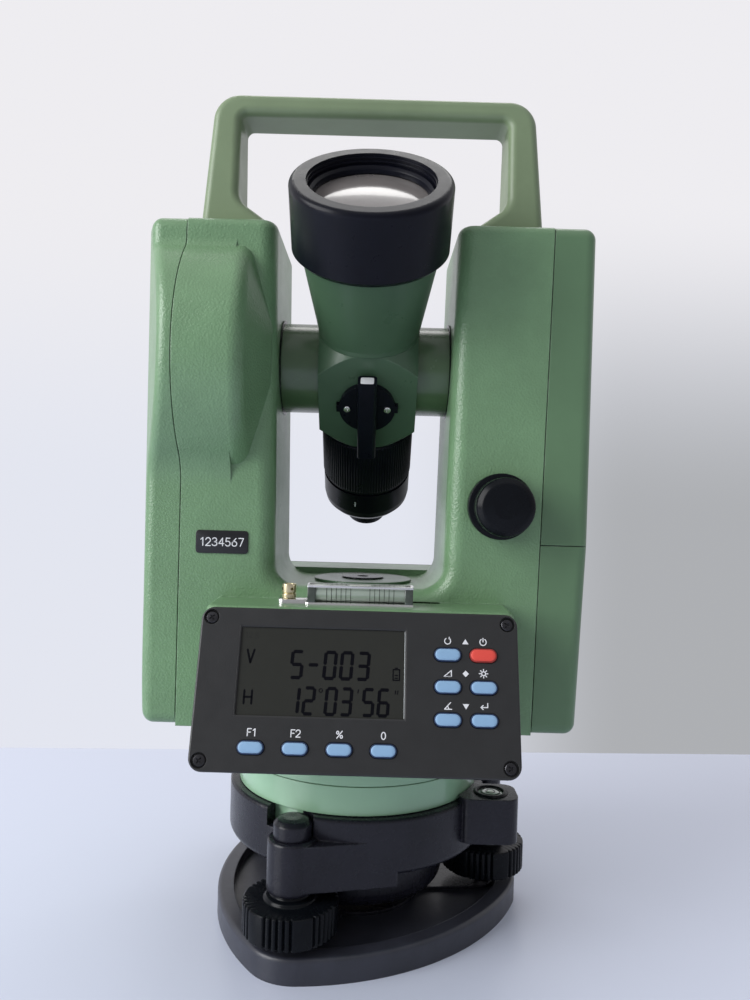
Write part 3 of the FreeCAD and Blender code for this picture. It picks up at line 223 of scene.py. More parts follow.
# Black paint of the base plate, lighter and bluer than the tribrach's black: partly its own colour, partly a
# painted reflection of the pale table along its rim.
define(coated, "base_paint", (0.03, 0.032, 0.044), 0.36, CAST_GRAIN, vary=0.2, scale=70.0, rough_vary=0.08,
       worn=((0.1, 0.1, 0.12), 0.8, 0.5), edge=0.7)
define(coated, "panel_plastic", (0.02, 0.0205, 0.021), 0.36, FINE_GRAIN, vary=0.1, scale=80.0, edge=0.3)
define(coated, "plate_black", (0.012, 0.012, 0.014), 0.3, FINE_GRAIN, vary=0.1, scale=80.0)
define(coated, "knob_black", (0.004, 0.005, 0.007), 0.26, [("noise", 700.0, 0.12, 0.05)], vary=0.15,
       scale=90.0, Specular_IOR_Level=0.15)
define(coated, "scope_black", (0.004, 0.0045, 0.009), 0.3, [("noise", 900.0, 0.2, 0.05)], vary=0.15,
       scale=90.0, edge=0.3, Specular_IOR_Level=0.16)
define(coated, "lcd_glass", (0.024, 0.025, 0.021), 0.2, [("noise", 60.0, 0.05, 0.1)], vary=0.05, scale=30.0,
       rough_vary=0.04, Coat_Weight=0.2, Coat_Roughness=0.06, Specular_IOR_Level=0.25)
define(clear, "lens_glass", (0.97, 0.97, 1.0), 0.0, 1.75, Coat_Weight=0.6, Coat_IOR=1.9)
define(coated, "lens_coated", (0.2, 0.185, 0.178), 0.16, LENS_WAVES, vary=0.3, scale=20.0, rough_vary=0.03,
       IOR=1.55, Coat_Weight=0.6, Coat_Roughness=0.05, Coat_IOR=1.5)
define(coated, "lens_dark", (0.01, 0.01, 0.015), 0.08, LENS_WAVES, vary=0.2, scale=20.0, rough_vary=0.03,
       Coat_Weight=1.0, Coat_Roughness=0.03, Coat_IOR=1.8)
define(clear, "circle_glass", (0.93, 0.97, 0.96), 0.02, 1.5)
define(clear, "level_glass", (0.9, 0.95, 0.9), 0.02, 1.48)
define(coated, "vial_liquid", (0.36, 0.42, 0.36), 0.15, LIQUID_WAVES, vary=0.08, scale=60.0, rough_vary=0.03,
       Coat_Weight=1.0, Coat_Roughness=0.03)
define(coated, "bubble", (0.8, 0.84, 0.74), 0.12, LIQUID_WAVES, vary=0.04, rough_vary=0.03, Coat_Weight=1.0,
       Coat_Roughness=0.03)
define(metal, "bright_metal", (0.82, 0.82, 0.8), 0.22)
define(metal, "screw_black", (0.06, 0.06, 0.065), 0.3)
define(coated, "level_block", (0.05, 0.065, 0.055), 0.12, LIQUID_WAVES, vary=0.3, scale=300.0,
       rough_vary=0.04, Coat_Weight=1.0, Coat_Roughness=0.03)
define(metal, "screw_steel", (0.42, 0.42, 0.43), 0.28)
define(metal, "axis_steel", (0.5, 0.5, 0.52), 0.3)
define(metal, "brass", (0.74, 0.64, 0.42), 0.3)
PLAIN_LOOKS = [
    ("board_green", (0.02, 0.12, 0.05), 0.35, 0.06),
    ("reader_black", (0.015, 0.015, 0.016), 0.5, 0.06),
    ("battery_sleeve", (0.03, 0.08, 0.3), 0.35, 0.06),
    ("key_blue", (0.25, 0.42, 0.62), 0.5, 0.03),
    ("key_red", (0.72, 0.07, 0.05), 0.5, 0.03),
    ("key_rim", (0.012, 0.03, 0.085), 0.45, 0.1),
    ("key_red_rim", (0.3, 0.03, 0.025), 0.45, 0.1),
    ("mark_white", (0.75, 0.76, 0.78), 0.5, 0.03),
    ("mark_black", (0.01, 0.011, 0.013), 0.4, 0.1),
]
for name, colour, rough, vary in PLAIN_LOOKS:
    define(coated, name, colour, rough, FINE_GRAIN, vary=vary)
define(coated, "lcd_ink", (0.002, 0.0022, 0.004), 0.35, FINE_GRAIN, vary=0.1, Specular_IOR_Level=0.1)
define(coated, "lcd_ghost", (0.02, 0.021, 0.019), 0.25, FINE_GRAIN, vary=0.1, Specular_IOR_Level=0.25)
# Near-white colour for the display's edge strip: a painted highlight, not a colour of the glass.
define(coated, "lcd_edge", (0.75, 0.8, 0.8), 0.2, FINE_GRAIN, vary=0.1, Coat_Weight=0.6, Coat_Roughness=0.06)


# -------------------- mesh helpers

def soften(points, radius, closed=True, steps=4):
    """Outline with each corner replaced by a short curve; a third number is a corner's own radius."""
    line = []
    count = len(points)
    for index, point in enumerate(points):
        here = Vector(point[:2])
        reach = point[2] if len(point) > 2 else radius
        if reach <= 0 or (not closed and index in (0, count - 1)):
            line.append(here)
            continue
        back = Vector(points[index - 1][:2]) - here
        ahead = Vector(points[(index + 1) % count][:2]) - here
        angle = back.angle(ahead)
        if angle > math.radians(177):
            line.append(here)
            continue
        length = min(reach / math.tan(angle / 2), back.length * 0.48, ahead.length * 0.48)
        start = here + back.normalized() * length
        end = here + ahead.normalized() * length
        for step in range(steps + 1):
            t = step / steps
            line.append(start * (1 - t) ** 2 + here * 2 * t * (1 - t) + end * t * t)
    return line


def place_at(origin, out=(0, 0, 1), right=None):
    """Matrix of a local frame in millimetres: its Z points out and its X to the right."""
    z_axis = Vector(out).normalized()
    x_axis = Vector(right or ((1, 0, 0) if abs(z_axis.x) < 0.9 else (0, 1, 0)))
    y_axis = z_axis.cross(x_axis).normalized()
    x_axis = y_axis.cross(z_axis)
    turn = Matrix((x_axis, y_axis, z_axis)).transposed().to_4x4()
    return Matrix.Translation(Vector(origin)) @ turn @ Matrix.Scale(MM, 4)


def show(bm, name, body, look, slot=None, at=None, sharp=38, looks=()):
    """Makes a piece of the mesh: placed, shaded, given its materials and put on its CAD body."""
    if at is not None:
        bmesh.ops.transform(bm, matrix=at, verts=bm.verts)
    bmesh.ops.recalc_face_normals(bm, faces=bm.faces)
    mesh = bpy.data.meshes.new(name)
    bm.to_mesh(mesh)
    bm.free()
    mesh.shade_smooth()
    mesh.set_sharp_from_angle(angle=math.radians(sharp))
    piece = bpy.data.objects.new(name, mesh)
    bpy.context.scene.collection.objects.link(piece)
    for key in (look, *looks):
        mesh.materials.append(LOOKS[key])
    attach(piece, body)
    return piece


def add_lathe(bm, profile, soft=0.3, steps=96, grip=None, curve=4):
    """Adds a turned solid: (radius, height) corners in mm. grip(angle, radius, height) cuts into it."""
    ring = profile[0][0] > 0
    line = soften(profile, soft, closed=ring, steps=curve)
    rows = []
    for radius, height in line:
        if radius < 1e-6:
            rows.append([bm.verts.new((0, 0, height))])
            continue
        row = []
        for step in range(steps):
            angle = TURN * step / steps
            reach = radius - (grip(angle, radius, height) if grip else 0)
            row.append(bm.verts.new((reach * math.cos(angle), reach * math.sin(angle), height)))
        rows.append(row)
    pairs = list(zip(rows, rows[1:] + rows[:1])) if ring else list(zip(rows, rows[1:]))
    for low, high in pairs:
        for step in range(steps):
            after = (step + 1) % steps
            corners = [low[step % len(low)], low[after % len(low)], high[after % len(high)],
                       high[step % len(high)]]
            unique = list(dict.fromkeys(corners))
            if len(unique) > 2:
                bm.faces.new(unique)
    return bm


def lathe(name, profile, at, body, look, **more):
    show_keys = {"slot", "sharp"}
    bm = add_lathe(bmesh.new(), profile, **{k: v for k, v in more.items() if k not in show_keys})
    return show(bm, name, body, look, at=at, **{k: v for k, v in more.items() if k in show_keys})


def inset(points, depth):
    """Closed outline moved inwards by depth."""
    count = len(points)
    area = sum(points[i - 1].x * points[i].y - points[i].x * points[i - 1].y for i in range(count))
    side = 1 if area > 0 else -1
    moved = []
    for index, here in enumerate(points):
        back = (here - points[index - 1]).normalized()
        ahead = (points[(index + 1) % count] - here).normalized()
        normal = Vector((-(back + ahead).y, (back + ahead).x)).normalized() * side
        square = max(0.4, normal.dot(Vector((-back.y, back.x)) * side))
        moved.append(here + normal * depth / square)
    return moved


def add_layers(bm, layers):
    """Adds a solid through closed outlines of equal counts: (outline, height)."""
    rows = [[bm.verts.new((point.x, point.y, height)) for point in outline] for outline, height in layers]
    for low, high in zip(rows, rows[1:]):
        for index in range(len(low)):
            bm.faces.new((low[index - 1], low[index], high[index], high[index - 1]))
    faces = [bm.faces.new(rows[0]), bm.faces.new(rows[-1])]
    return rows, faces


def add_slab(bm, outline, low, high, edge=0.3, foot_edge=0.0):
    """Adds a flat solid with its upper edge, and its lower one if asked, rounded."""
    layers = []
    if foot_edge > 0:
        layers += [(inset(outline, foot_edge), low),
                   (inset(outline, foot_edge * 0.3), low + foot_edge * 0.3)]
        layers += [(outline, low + foot_edge)]
    else:
        layers += [(outline, low)]
    if edge > 0:
        layers += [(outline, high - edge), (inset(outline, edge * 0.3), high - edge * 0.3)]
        layers += [(inset(outline, edge), high)]
    else:
        layers += [(outline, high)]
    return add_layers(bm, layers)


def rectangle(x_low, y_low, x_high, y_high, corner=0.0, steps=4):
    points = [(x_low, y_low), (x_high, y_low), (x_high, y_high), (x_low, y_high)]
    return soften(points, corner, steps=steps) if corner else [Vector(point) for point in points]


def stadium(x, y, length, width, steps=10):
    """Round-ended outline."""
    line = []
    for side in (1, -1):
        for step in range(steps + 1):
            angle = math.pi * (step / steps - 0.5)
            reach = (length - width) / 2 + width / 2 * math.cos(angle)
            line.append(Vector((x + side * reach, y + side * width / 2 * math.sin(angle))))
    return line


def merge(bm, other, at=None):
    """Adds one bmesh to another, moved by a matrix."""
    mesh = bpy.data.meshes.new("passing")
    other.to_mesh(mesh)
    if at is not None:
        mesh.transform(at)
    bm.from_mesh(mesh)
    bpy.data.meshes.remove(mesh)


def carve(piece, cutter_bm, at):
    """Cuts a shape out of a piece, and keeps the result as its mesh."""
    bmesh.ops.transform(cutter_bm, matrix=at, verts=cutter_bm.verts)
    bmesh.ops.recalc_face_normals(cutter_bm, faces=cutter_bm.faces)
    mesh = bpy.data.meshes.new("cutter")
    cutter_bm.to_mesh(mesh)
    cutter_bm.free()
    cutter = bpy.data.objects.new("cutter", mesh)
    bpy.context.scene.collection.objects.link(cutter)
    modifier = piece.modifiers.new("cut", "BOOLEAN")
    modifier.object = cutter
    modifier.operation = "DIFFERENCE"
    modifier.solver = "EXACT"
    depsgraph = bpy.context.evaluated_depsgraph_get()
    result = bpy.data.meshes.new_from_object(piece.evaluated_get(depsgraph))
    piece.modifiers.clear()
    piece.data = result
    bpy.data.objects.remove(cutter)
    bpy.data.meshes.remove(mesh)
    return piece


def centre_of(label):
    low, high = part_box(label)
    return (low + high) / 2


# -------------------- carried-over CAD nodes

SLOT_OF = {part["node"]: part["material_slot"] for part in frame["record"]["subparts"]}
LOOK_OF = {
    "telescope_block": "scope_green", "objective_tube": "scope_green", "trunnion_axles": "axle_green",
    "right_cover": "green_smooth", "battery_box": "green_smooth", "base_plate": "base_paint",
}
for label, item in NODES.items():
    item.data.materials.clear()
    item.data.materials.append(LOOKS[LOOK_OF.get(label, SLOT_OF[label])])


# -------------------- places read from the CAD nodes

def points_of(label):
    return [vertex.co.copy() for vertex in NODES[label].data.vertices]


def loose_parts(label):
    """Points of each separate solid of a CAD node."""
    bm = bmesh.new()
    bm.from_mesh(NODES[label].data)
    bmesh.ops.remove_doubles(bm, verts=bm.verts, dist=2e-6)
    left = set(bm.verts)
    parts = []
    while left:
        waiting = [left.pop()]
        points = [waiting[0].co.copy()]
        while waiting:
            for edge in waiting.pop().link_edges:
                for vert in edge.verts:
                    if vert in left:
                        left.discard(vert)
                        waiting.append(vert)
                        points.append(vert.co.copy())
        parts.append(points)
    bm.free()
    return parts


def local_box(points, place):
    """Lowest and highest corner of some points in a local millimetre frame."""
    back = place.inverted()
    moved = [back @ point for point in points]
    low = Vector(min(point[axis] for point in moved) for axis in range(3))
    high = Vector(max(point[axis] for point in moved) for axis in range(3))
    return low, high


def joint_place(name, right=None):
    """Local frame on a joint, with its Z along the joint's axis."""
    joint = JOINTS[name]
    return place_at(joint["pos_m"], joint["axis"], right)


def panel_place(label, side):
    """Local frame at a panel's lower left corner, on its outer face; side is -1 in front, 1 behind."""
    inward = Vector(JOINTS["key_face_press"]["axis"]).normalized()
    out = Vector((0, side * abs(inward.y), abs(inward.z)))
    right = Vector((-side, 0, 0))
    up = out.cross(right)
    points = points_of(label)
    level = max(point.dot(out) for point in points)
    face = [point for point in points if point.dot(out) > level - 1e-5]
    foot = min(point.dot(up) for point in face)
    left = min(point.dot(right) for point in points)
    return place_at(right * left + up * foot + out * level, out, right)


# -------------------- strokes and glyphs

def bar(start, end, width, steps=4):
    """Round-ended outline from one point to another."""
    start, end = Vector(start), Vector(end)
    lean = math.atan2(end.y - start.y, end.x - start.x)
    line = []
    for centre, turn in ((end, -0.5), (start, 0.5)):
        for step in range(steps + 1):
            angle = lean + math.pi * (turn + step / steps)
            line.append(centre + Vector((math.cos(angle), math.sin(angle))) * width / 2)
    return line


def arc(x, y, across, up, first, last, count=14):
    """Part of an ellipse, with its ends in degrees."""
    angles = [math.radians(first + (last - first) * step / count) for step in range(count + 1)]
    return [(x + across * math.cos(angle), y + up * math.sin(angle)) for angle in angles]


GLYPHS = {
    "0": [arc(0.3, 0.5, 0.3, 0.5, 0, 360)],
    "1": [[(0.1, 0.78), (0.36, 1), (0.36, 0)]],
    "2": [arc(0.3, 0.7, 0.3, 0.3, 170, -35) + [(0, 0), (0.6, 0)]],
    "3": [arc(0.28, 0.76, 0.27, 0.24, 160, -90), arc(0.28, 0.26, 0.31, 0.26, 90, -160)],
    "4": [[(0.46, 0), (0.46, 1), (0, 0.3), (0.64, 0.3)]],
    "5": [[(0.56, 1), (0.1, 1), (0.05, 0.56)] + arc(0.28, 0.31, 0.31, 0.31, 125, -150)],
    "6": [[(0.5, 1), (0.1, 0.55)] + arc(0.3, 0.3, 0.3, 0.3, 160, -200)],
    "7": [[(0, 1), (0.6, 1), (0.2, 0)]],
    "F": [[(0.05, 0), (0.05, 1), (0.6, 1)], [(0.05, 0.52), (0.5, 0.52)]],
    "%": [[(0.05, 0), (0.8, 1)], arc(0.16, 0.78, 0.16, 0.2, 0, 360), arc(0.7, 0.22, 0.16, 0.2, 0, 360)],
    "power": [arc(0.5, 0.46, 0.44, 0.46, 125, 415), [(0.5, 0.5), (0.5, 1)]],
    "slope": [[(0, 0), (1.1, 0), (1.1, 0.9), (0, 0), (1.1, 0)]],
    "light": [arc(0.5, 0.5, 0.26, 0.26, 0, 360)] + [
        [(0.5 + 0.4 * math.cos(a), 0.5 + 0.4 * math.sin(a)),
         (0.5 + 0.56 * math.cos(a), 0.5 + 0.56 * math.sin(a))]
        for a in [TURN * ray / 8 for ray in range(8)]
    ],
    "angle": [[(0.9, 0.95), (0, 0), (1.05, 0)], arc(0, 0, 0.62, 0.62, 0, 46, 6)],
    "enter": [[(1, 0.9), (1, 0.35), (0.1, 0.35)], [(0.38, 0.62), (0.08, 0.35), (0.38, 0.08)]],
    "repeat": [arc(0.5, 0.48, 0.42, 0.42, 60, -240), [(0.74, 1.02), (0.7, 0.82), (0.9, 0.74)]],
}
GLYPH_WIDTH = {"1": 0.5, "%": 0.86, "power": 1.0, "slope": 1.1, "light": 1.0, "angle": 1.0, "enter": 1.05,
               "repeat": 1.0}


def glyph_span(word, size, gap):
    return sum(GLYPH_WIDTH.get(letter, 0.62) * size for letter in word) + gap * (len(word) - 1)


STROKE_STEP = 0.004  # overlapping strokes differ in height by this much, so that no faces coincide


def add_word(bm, word, x, y, size, width, low, high, gap=0.35):
    """Adds glyphs as thin raised strokes, centred on a point."""
    pen = x - glyph_span(word, size, gap) / 2
    for letter in word:
        for line in GLYPHS[letter]:
            dots = [(pen + px * size, y + (py - 0.5) * size) for px, py in line]
            for index, (start, end) in enumerate(zip(dots, dots[1:])):
                add_slab(bm, bar(start, end, width), low, high - STROKE_STEP * (index % 3), edge=0)
        pen += GLYPH_WIDTH.get(letter, 0.62) * size + gap


SEGMENTS = {
    "a": ((0, 1), (1, 1)), "b": ((1, 0.5), (1, 1)), "c": ((1, 0), (1, 0.5)), "d": ((0, 0), (1, 0)),
    "e": ((0, 0), (0, 0.5)), "f": ((0, 0.5), (0, 1)), "g": ((0, 0.5), (1, 0.5)),
}
LIT = {
    "0": "abcdef", "1": "bc", "2": "abdeg", "3": "abcdg", "4": "bcfg", "5": "acdfg",
    "6": "acdefg", "7": "abc", "8": "abcdefg", "9": "abcdfg", "-": "g",
}


def add_digit(bm, digit, x, y, across, up, width, low, high, lean=0.06):
    """Adds one seven-segment figure with its lower left corner at a point."""
    for name in LIT[digit]:
        ends = []
        for px, py in SEGMENTS[name]:
            ends.append(Vector((x + px * across + py * up * lean, y + py * up)))
        along = (ends[1] - ends[0]).normalized()
        side = Vector((-along.y, along.x)) * width / 2
        start, end = ends[0] + along * width * 0.04, ends[1] - along * width * 0.04
        outline = [
            start, start + along * width * 0.3 - side, end - along * width * 0.3 - side,
            end, end - along * width * 0.3 + side, start + along * width * 0.3 + side,
        ]
        add_slab(bm, outline, low, high, edge=0)


def close_rows(bm, rows):
    """Joins rows of vertices, each to the next and the last to the first."""
    for first, second in zip(rows, rows[1:] + rows[:1]):
        for index in range(len(first)):
            bm.faces.new((first[index - 1], first[index], second[index], second[index - 1]))


# -------------------- screws

def cross_head(radius, low, high, dome=0.35):
    """Screw head with a cross recess, as a bmesh in its own millimetre frame."""
    bm = bmesh.new()
    profile = [(0, low), (radius, low), (radius, high - dome), (radius * 0.8, high - dome * 0.3), (0, high)]
    return add_lathe(bm, profile, soft=0.15, steps=40)


def cross_recess(radius, low, high):
    bm = bmesh.new()
    arm, half = radius * 0.62, radius * 0.13
    outline = [
        (arm, -half), (arm, half), (half, half), (half, arm), (-half, arm), (-half, half),
        (-arm, half), (-arm, -half), (-half, -half), (-half, -arm), (half, -arm), (half, -half),
    ]
    points = [Vector(point) for point in outline]
    inner = [point * 0.45 for point in points]
    add_layers(bm, [(inner, low), (points, high)])
    return bm


def cross_screws(name, label, radius, length, places, body, look):
    """Replaces the screws of a CAD node: places are matrices on top of each head, Z out."""
    piece = show(cross_head(radius, -length, 0), name, body, look, at=Matrix.Scale(MM, 4))
    carve(piece, cross_recess(radius, -length * 0.6, 0.2), Matrix.Scale(MM, 4))
    single = piece.data.copy()
    bm = bmesh.new()
    for place in places:
        moved = single.copy()
        moved.transform(place @ Matrix.Scale(1 / MM, 4))
        bm.from_mesh(moved)
        bpy.data.meshes.remove(moved)
    bm.to_mesh(piece.data)
    bm.free()
    bpy.data.meshes.remove(single)
    piece.data.set_sharp_from_angle(angle=math.radians(38))
    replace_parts(piece, label)
    return piece


# -------------------- levelling base

FOOT_RADIUS = 17.3
KNOB_LOW, KNOB_TOP = 12.9, 24.2
GRIP_DEPTH = 0.95


def foot_grip(angle, radius, height):
    """Six groups of five grooves round a footscrew's knob."""
    if radius < FOOT_RADIUS - 1.2:
        return 0
    within = math.degrees(angle) % 60
    nearest = min(abs(within - centre) for centre in (4, 12, 20, 28, 36))
    if nearest > 2.6:
        return 0
    return GRIP_DEPTH * 0.5 * (1 + math.cos(math.pi * nearest / 2.6))


FOOT_PLACES = []
for number in (1, 2, 3):
    label = "footscrew_%d" % number
    middle = centre_of(label)
    foot = Vector((middle.x, middle.y, 0))
    FOOT_PLACES.append(foot)
    knob = lathe(
        label + "_knob",
        [
            (0, KNOB_LOW), (FOOT_RADIUS, KNOB_LOW), (FOOT_RADIUS, KNOB_TOP), (9.6, KNOB_TOP - 0.1),
            (9.2, 25.4), (7.2, 25.5), (7.0, 26.8), (0, 26.8),
        ],
        place_at(foot), label, "knob_black", soft=0.9, steps=360, curve=3, grip=foot_grip, sharp=30,
    )
    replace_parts(knob, label)
    lathe(
        label + "_spindle", [(0, 4.06), (3.4, 4.3), (3.5, 12), (4.9, 13.2), (4.9, 49.8), (0, 49.9)],
        place_at(foot), label, "screw_steel", slot="knob_black", soft=0.3, steps=48,
    )

CAP_LOW, CAP_TOP = (value / MM for value in (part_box("footscrew_caps")[0].z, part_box("footscrew_caps")[1].z))
caps = bmesh.new()
for foot in FOOT_PLACES:
    cap = add_lathe(
        bmesh.new(),
        [(5.4, CAP_LOW), (7, CAP_LOW), (7, CAP_TOP - 2.0, 0.5), (5.6, CAP_TOP - 0.5, 1.4), (3.4, CAP_TOP),
         (0, CAP_TOP), (0, CAP_TOP - 1.6), (5.4, CAP_TOP - 1.6)],
        soft=0.4, steps=64,
    )
    merge(caps, cap, Matrix.Translation(foot / MM))
    cap.free()
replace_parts(show(caps, "footscrew_cap_tops", "base", "black_casting", at=Matrix.Scale(MM, 4)),
            "footscrew_caps")

level_low, level_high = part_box("circular_level")
LEVEL_RADIUS = (level_high.x - level_low.x) / 2 / MM
level_mid = centre_of("circular_level")
level_place = place_at((level_mid.x, level_mid.y, level_high.z))
cell = lathe(
    "round_level_cell",
    [(4.9, -4.5), (LEVEL_RADIUS, -4.5), (LEVEL_RADIUS, -0.7), (LEVEL_RADIUS - 0.6, -0.1), (5.2, -0.1),
     (4.9, -0.6)],
    level_place, "base", "knob_black", slot="level_glass", soft=0.25, steps=72,
)
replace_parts(cell, "circular_level")
lathe("round_level_liquid", [(0, -4.4), (4.85, -4.4), (4.85, -0.9), (3, -0.55), (0, -0.45)], level_place,
      "base", "vial_liquid", slot="level_glass", soft=0.3, steps=72)
for name, radius, width in (("inner", 1.9, 0.22), ("outer", 3.8, 0.2)):
    lathe("round_level_ring_" + name, [(radius - width, -0.62), (radius, -0.62), (radius, -0.36),
                                       (radius - width, -0.36)],
          level_place, "base", "mark_black", slot="level_glass", soft=0.03, steps=72)
lathe("round_level_bubble", [(0, -0.6), (1.4, -0.55), (1.1, -0.3), (0, -0.25)], level_place, "base",
      "bubble", slot="level_glass", soft=0.2, steps=48)


# -------------------- front and rear panels

FRONT = panel_place("front_panel", -1)
REAR = panel_place("rear_panel", 1)
KEY_RIM = 0.42

for label in [name for name in NODES if name.startswith("key_")]:
    low, high = local_box(points_of(label), FRONT)
    middle, size = (low + high) / 2, high - low
    bm = bmesh.new()
    add_slab(bm, stadium(middle.x, middle.y, size.x, size.y, steps=12), low.z, high.z - 0.42, edge=0.15)
    surround = show(bm, label + "_surround", label, "key_rim" if label != "key_power" else "key_red_rim",
                    at=FRONT, slot="key_red" if label == "key_power" else "key_blue")
    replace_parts(surround, label)
    bm = bmesh.new()
    top = stadium(middle.x, middle.y, size.x - 2 * KEY_RIM, size.y - 2 * KEY_RIM, steps=12)
    add_layers(bm, [
        (top, high.z - 0.9), (top, high.z - 0.34), (inset(top, 0.08), high.z - 0.19),
        (inset(top, 0.3), high.z - 0.09), (inset(top, 0.8), high.z - 0.03), (inset(top, 1.4), high.z),
    ])
    show(bm, label + "_top", label, "key_red" if label == "key_power" else "key_blue", at=FRONT, sharp=50)

LABEL_LOW, LABEL_HIGH = -0.02, 0.035
KEY_WORDS = {
    "key_face": (["F", "1"], 2.3, 4.9), "key_hold": (["F", "2"], 2.3, 4.9), "key_percent": (["%"], 2.3, 4.9),
    "key_zero": (["0"], 2.3, 4.9), "key_repeat": (["repeat"], 2.5, 4.8), "key_power": (["power"], 2.5, 4.8),
    "key_slope": (["slope"], 2.3, 4.7), "key_light": (["light"], 2.6, 4.8),
    "key_angle": (["angle"], 2.3, 4.7), "key_enter": (["enter"], 2.5, 4.8),
}
words = bmesh.new()
centres = {}
for label, (word, size, rise) in KEY_WORDS.items():
    low, high = local_box(points_of(label), FRONT)
    centres[label] = (low + high) / 2
    add_word(words, word, centres[label].x, centres[label].y + rise, size, 0.34, LABEL_LOW, LABEL_HIGH)
mark_x = (centres["key_repeat"].x + centres["key_power"].x) / 2
for label, shape in (("key_repeat", "up"), ("key_slope", "middle"), ("key_angle", "down")):
    y = centres[label].y + 4.6
    outline = {
        "up": [(-1.1, -0.8), (1.1, -0.8), (0, 1.0)],
        "middle": [(-1.1, 0), (0, -1.1), (1.1, 0), (0, 1.1)],
        "down": [(0, -1.0), (1.1, 0.8), (-1.1, 0.8)],
    }[shape]
    add_slab(words, [Vector((mark_x + px, y + py)) for px, py in outline], LABEL_LOW, LABEL_HIGH, edge=0)
show(words, "key_labels", "alidade", "mark_white", slot="panel_plastic", at=FRONT)


LETTER_V = [((0, 2.2), (1.2, -2.2)), ((1.2, -2.2), (2.4, 2.2))]
LETTER_H = [((0, -2.2), (0, 2.2)), ((2.6, -2.2), (2.6, 2.2)), ((0, 0), (2.6, 0))]
BATTERY_MARK = [
    ((-1.1, -2.0), (-1.1, 1.6)), ((1.1, -2.0), (1.1, 1.6)), ((-1.1, -2.0), (1.1, -2.0)),
    ((-1.1, 1.6), (1.1, 1.6)), ((-0.4, 2.1), (0.4, 2.1)), ((-0.4, -1.3), (0.4, -1.3)),
    ((-0.4, -0.4), (0.4, -0.4)),
]


def dress_display(label, place, tag):
    """Figures, marks and a painted highlight along the glass edge of a liquid-crystal display."""
    points = points_of(label)
    top = local_box(points, place)[1].z
    face = [point for point in points if (place.inverted() @ point).z > top - 0.05]
    low, high = local_box(face, place)
    wide, tall = high.x - low.x, high.y - low.y
    ink_low, ink_high = top - 0.02, top + 0.03
    bm = bmesh.new()

    def at(fx, fy):
        return low.x + fx * wide, high.y - fy * tall

    def row(figures, first, last, middle, height, thick):
        up = height * tall
        pitch = (last - first) * wide / len(figures)
        x, y = at(first, middle)
        for index, figure in enumerate(figures):
            if figure != " ":
                add_digit(bm, figure, x + index * pitch, y - up / 2, pitch * 0.62, up, thick, ink_low,
                          ink_high)

    def draw(fx, fy, width, lines):
        x, y = at(fx, fy)
        for start, end in lines:
            stroke = bar((x + start[0], y + start[1]), (x + end[0], y + end[1]), width)
            add_slab(bm, stroke, ink_low, ink_high, edge=0)

    row("5-003", 0.315, 0.81, 0.42, 0.29, 1.2)
    row("12", 0.31, 0.49, 0.815, 0.28, 1.15)
    row("03", 0.53, 0.71, 0.815, 0.28, 1.15)
    row("56", 0.75, 0.93, 0.815, 0.28, 1.15)
    for fx, marks in ((0.50, "ring"), (0.72, "one"), (0.94, "two")):
        x, y = at(fx, 0.70)
        if marks == "ring":
            dots = arc(x, y, 0.6, 0.6, 0, 360, 10)
            for start, end in zip(dots, dots[1:]):
                add_slab(bm, bar(start, end, 0.32), ink_low, ink_high, edge=0)
        for index in range({"ring": 0, "one": 1, "two": 2}[marks]):
            add_slab(bm, bar((x + index * 0.8, y - 0.5), (x + index * 0.8 + 0.15, y + 0.6), 0.36), ink_low,
                     ink_high, edge=0)
    draw(0.05, 0.34, 0.7, LETTER_V)
    draw(0.05, 0.79, 0.7, LETTER_H)
    draw(0.945, 0.5, 0.42, BATTERY_MARK)
    show(bm, tag + "_figures", "alidade", "lcd_ink", slot="lcd_glass", at=place)

    bm = bmesh.new()
    for index, word in enumerate((["1", "2"], ["5"])):
        x, y = at(0.05 + 0.05 * index, 0.1 + 0.01 * index)
        add_word(bm, word, x, y, 1.9, 0.3, ink_low, ink_high - 0.02, gap=0.4)
    show(bm, tag + "_faint_marks", "alidade", "lcd_ghost", slot="lcd_glass", at=place)

    # Pale strip down the display's right side: a painted highlight of light caught in the edge of the glass.
    bm = bmesh.new()
    edge = 0.45
    add_slab(bm, rectangle(high.x - edge, low.y + 0.4, high.x, high.y - 0.4, 0.1), top - 0.05, top + 0.12,
             edge=0.05)
    show(bm, tag + "_bright_edge", "alidade", "lcd_edge", slot="lcd_glass", at=place)

    bm = bmesh.new()
    outer = rectangle(low.x - 0.35, low.y - 0.35, high.x + 0.35, high.y + 0.35, 0.7, steps=4)
    inner = rectangle(low.x + 0.35, low.y + 0.35, high.x - 0.35, high.y - 0.35, 0.5, steps=4)
    rows = [[bm.verts.new((p.x, p.y, z)) for p in line] for line, z in (
        (outer, top - 0.3), (outer, top + 0.62), (inset(outer, 0.12), top + 0.72), (inner, top + 0.5),
        (inner, top - 0.3))]
    close_rows(bm, rows)
    show(bm, tag + "_window_rim", "alidade", "panel_plastic", at=place, sharp=30)


dress_display("front_display", FRONT, "front")
dress_display("rear_display", REAR, "rear")

screw_places = []
for points in loose_parts("panel_screws"):
    side = FRONT if sum(point.y for point in points) < 0 else REAR
    low, high = local_box(points, side)
    middle = (low + high) / 2
    turned = Matrix.Rotation(0.4 + 1.7 * len(screw_places), 4, "Z")
    screw_places.append(side @ Matrix.Translation((middle.x, middle.y, high.z)) @ turned)
cross_screws("panel_cross_screws", "panel_screws", 2.2, 0.9, screw_places, "alidade", "screw_black")


# -------------------- number plate, plate level, saddle

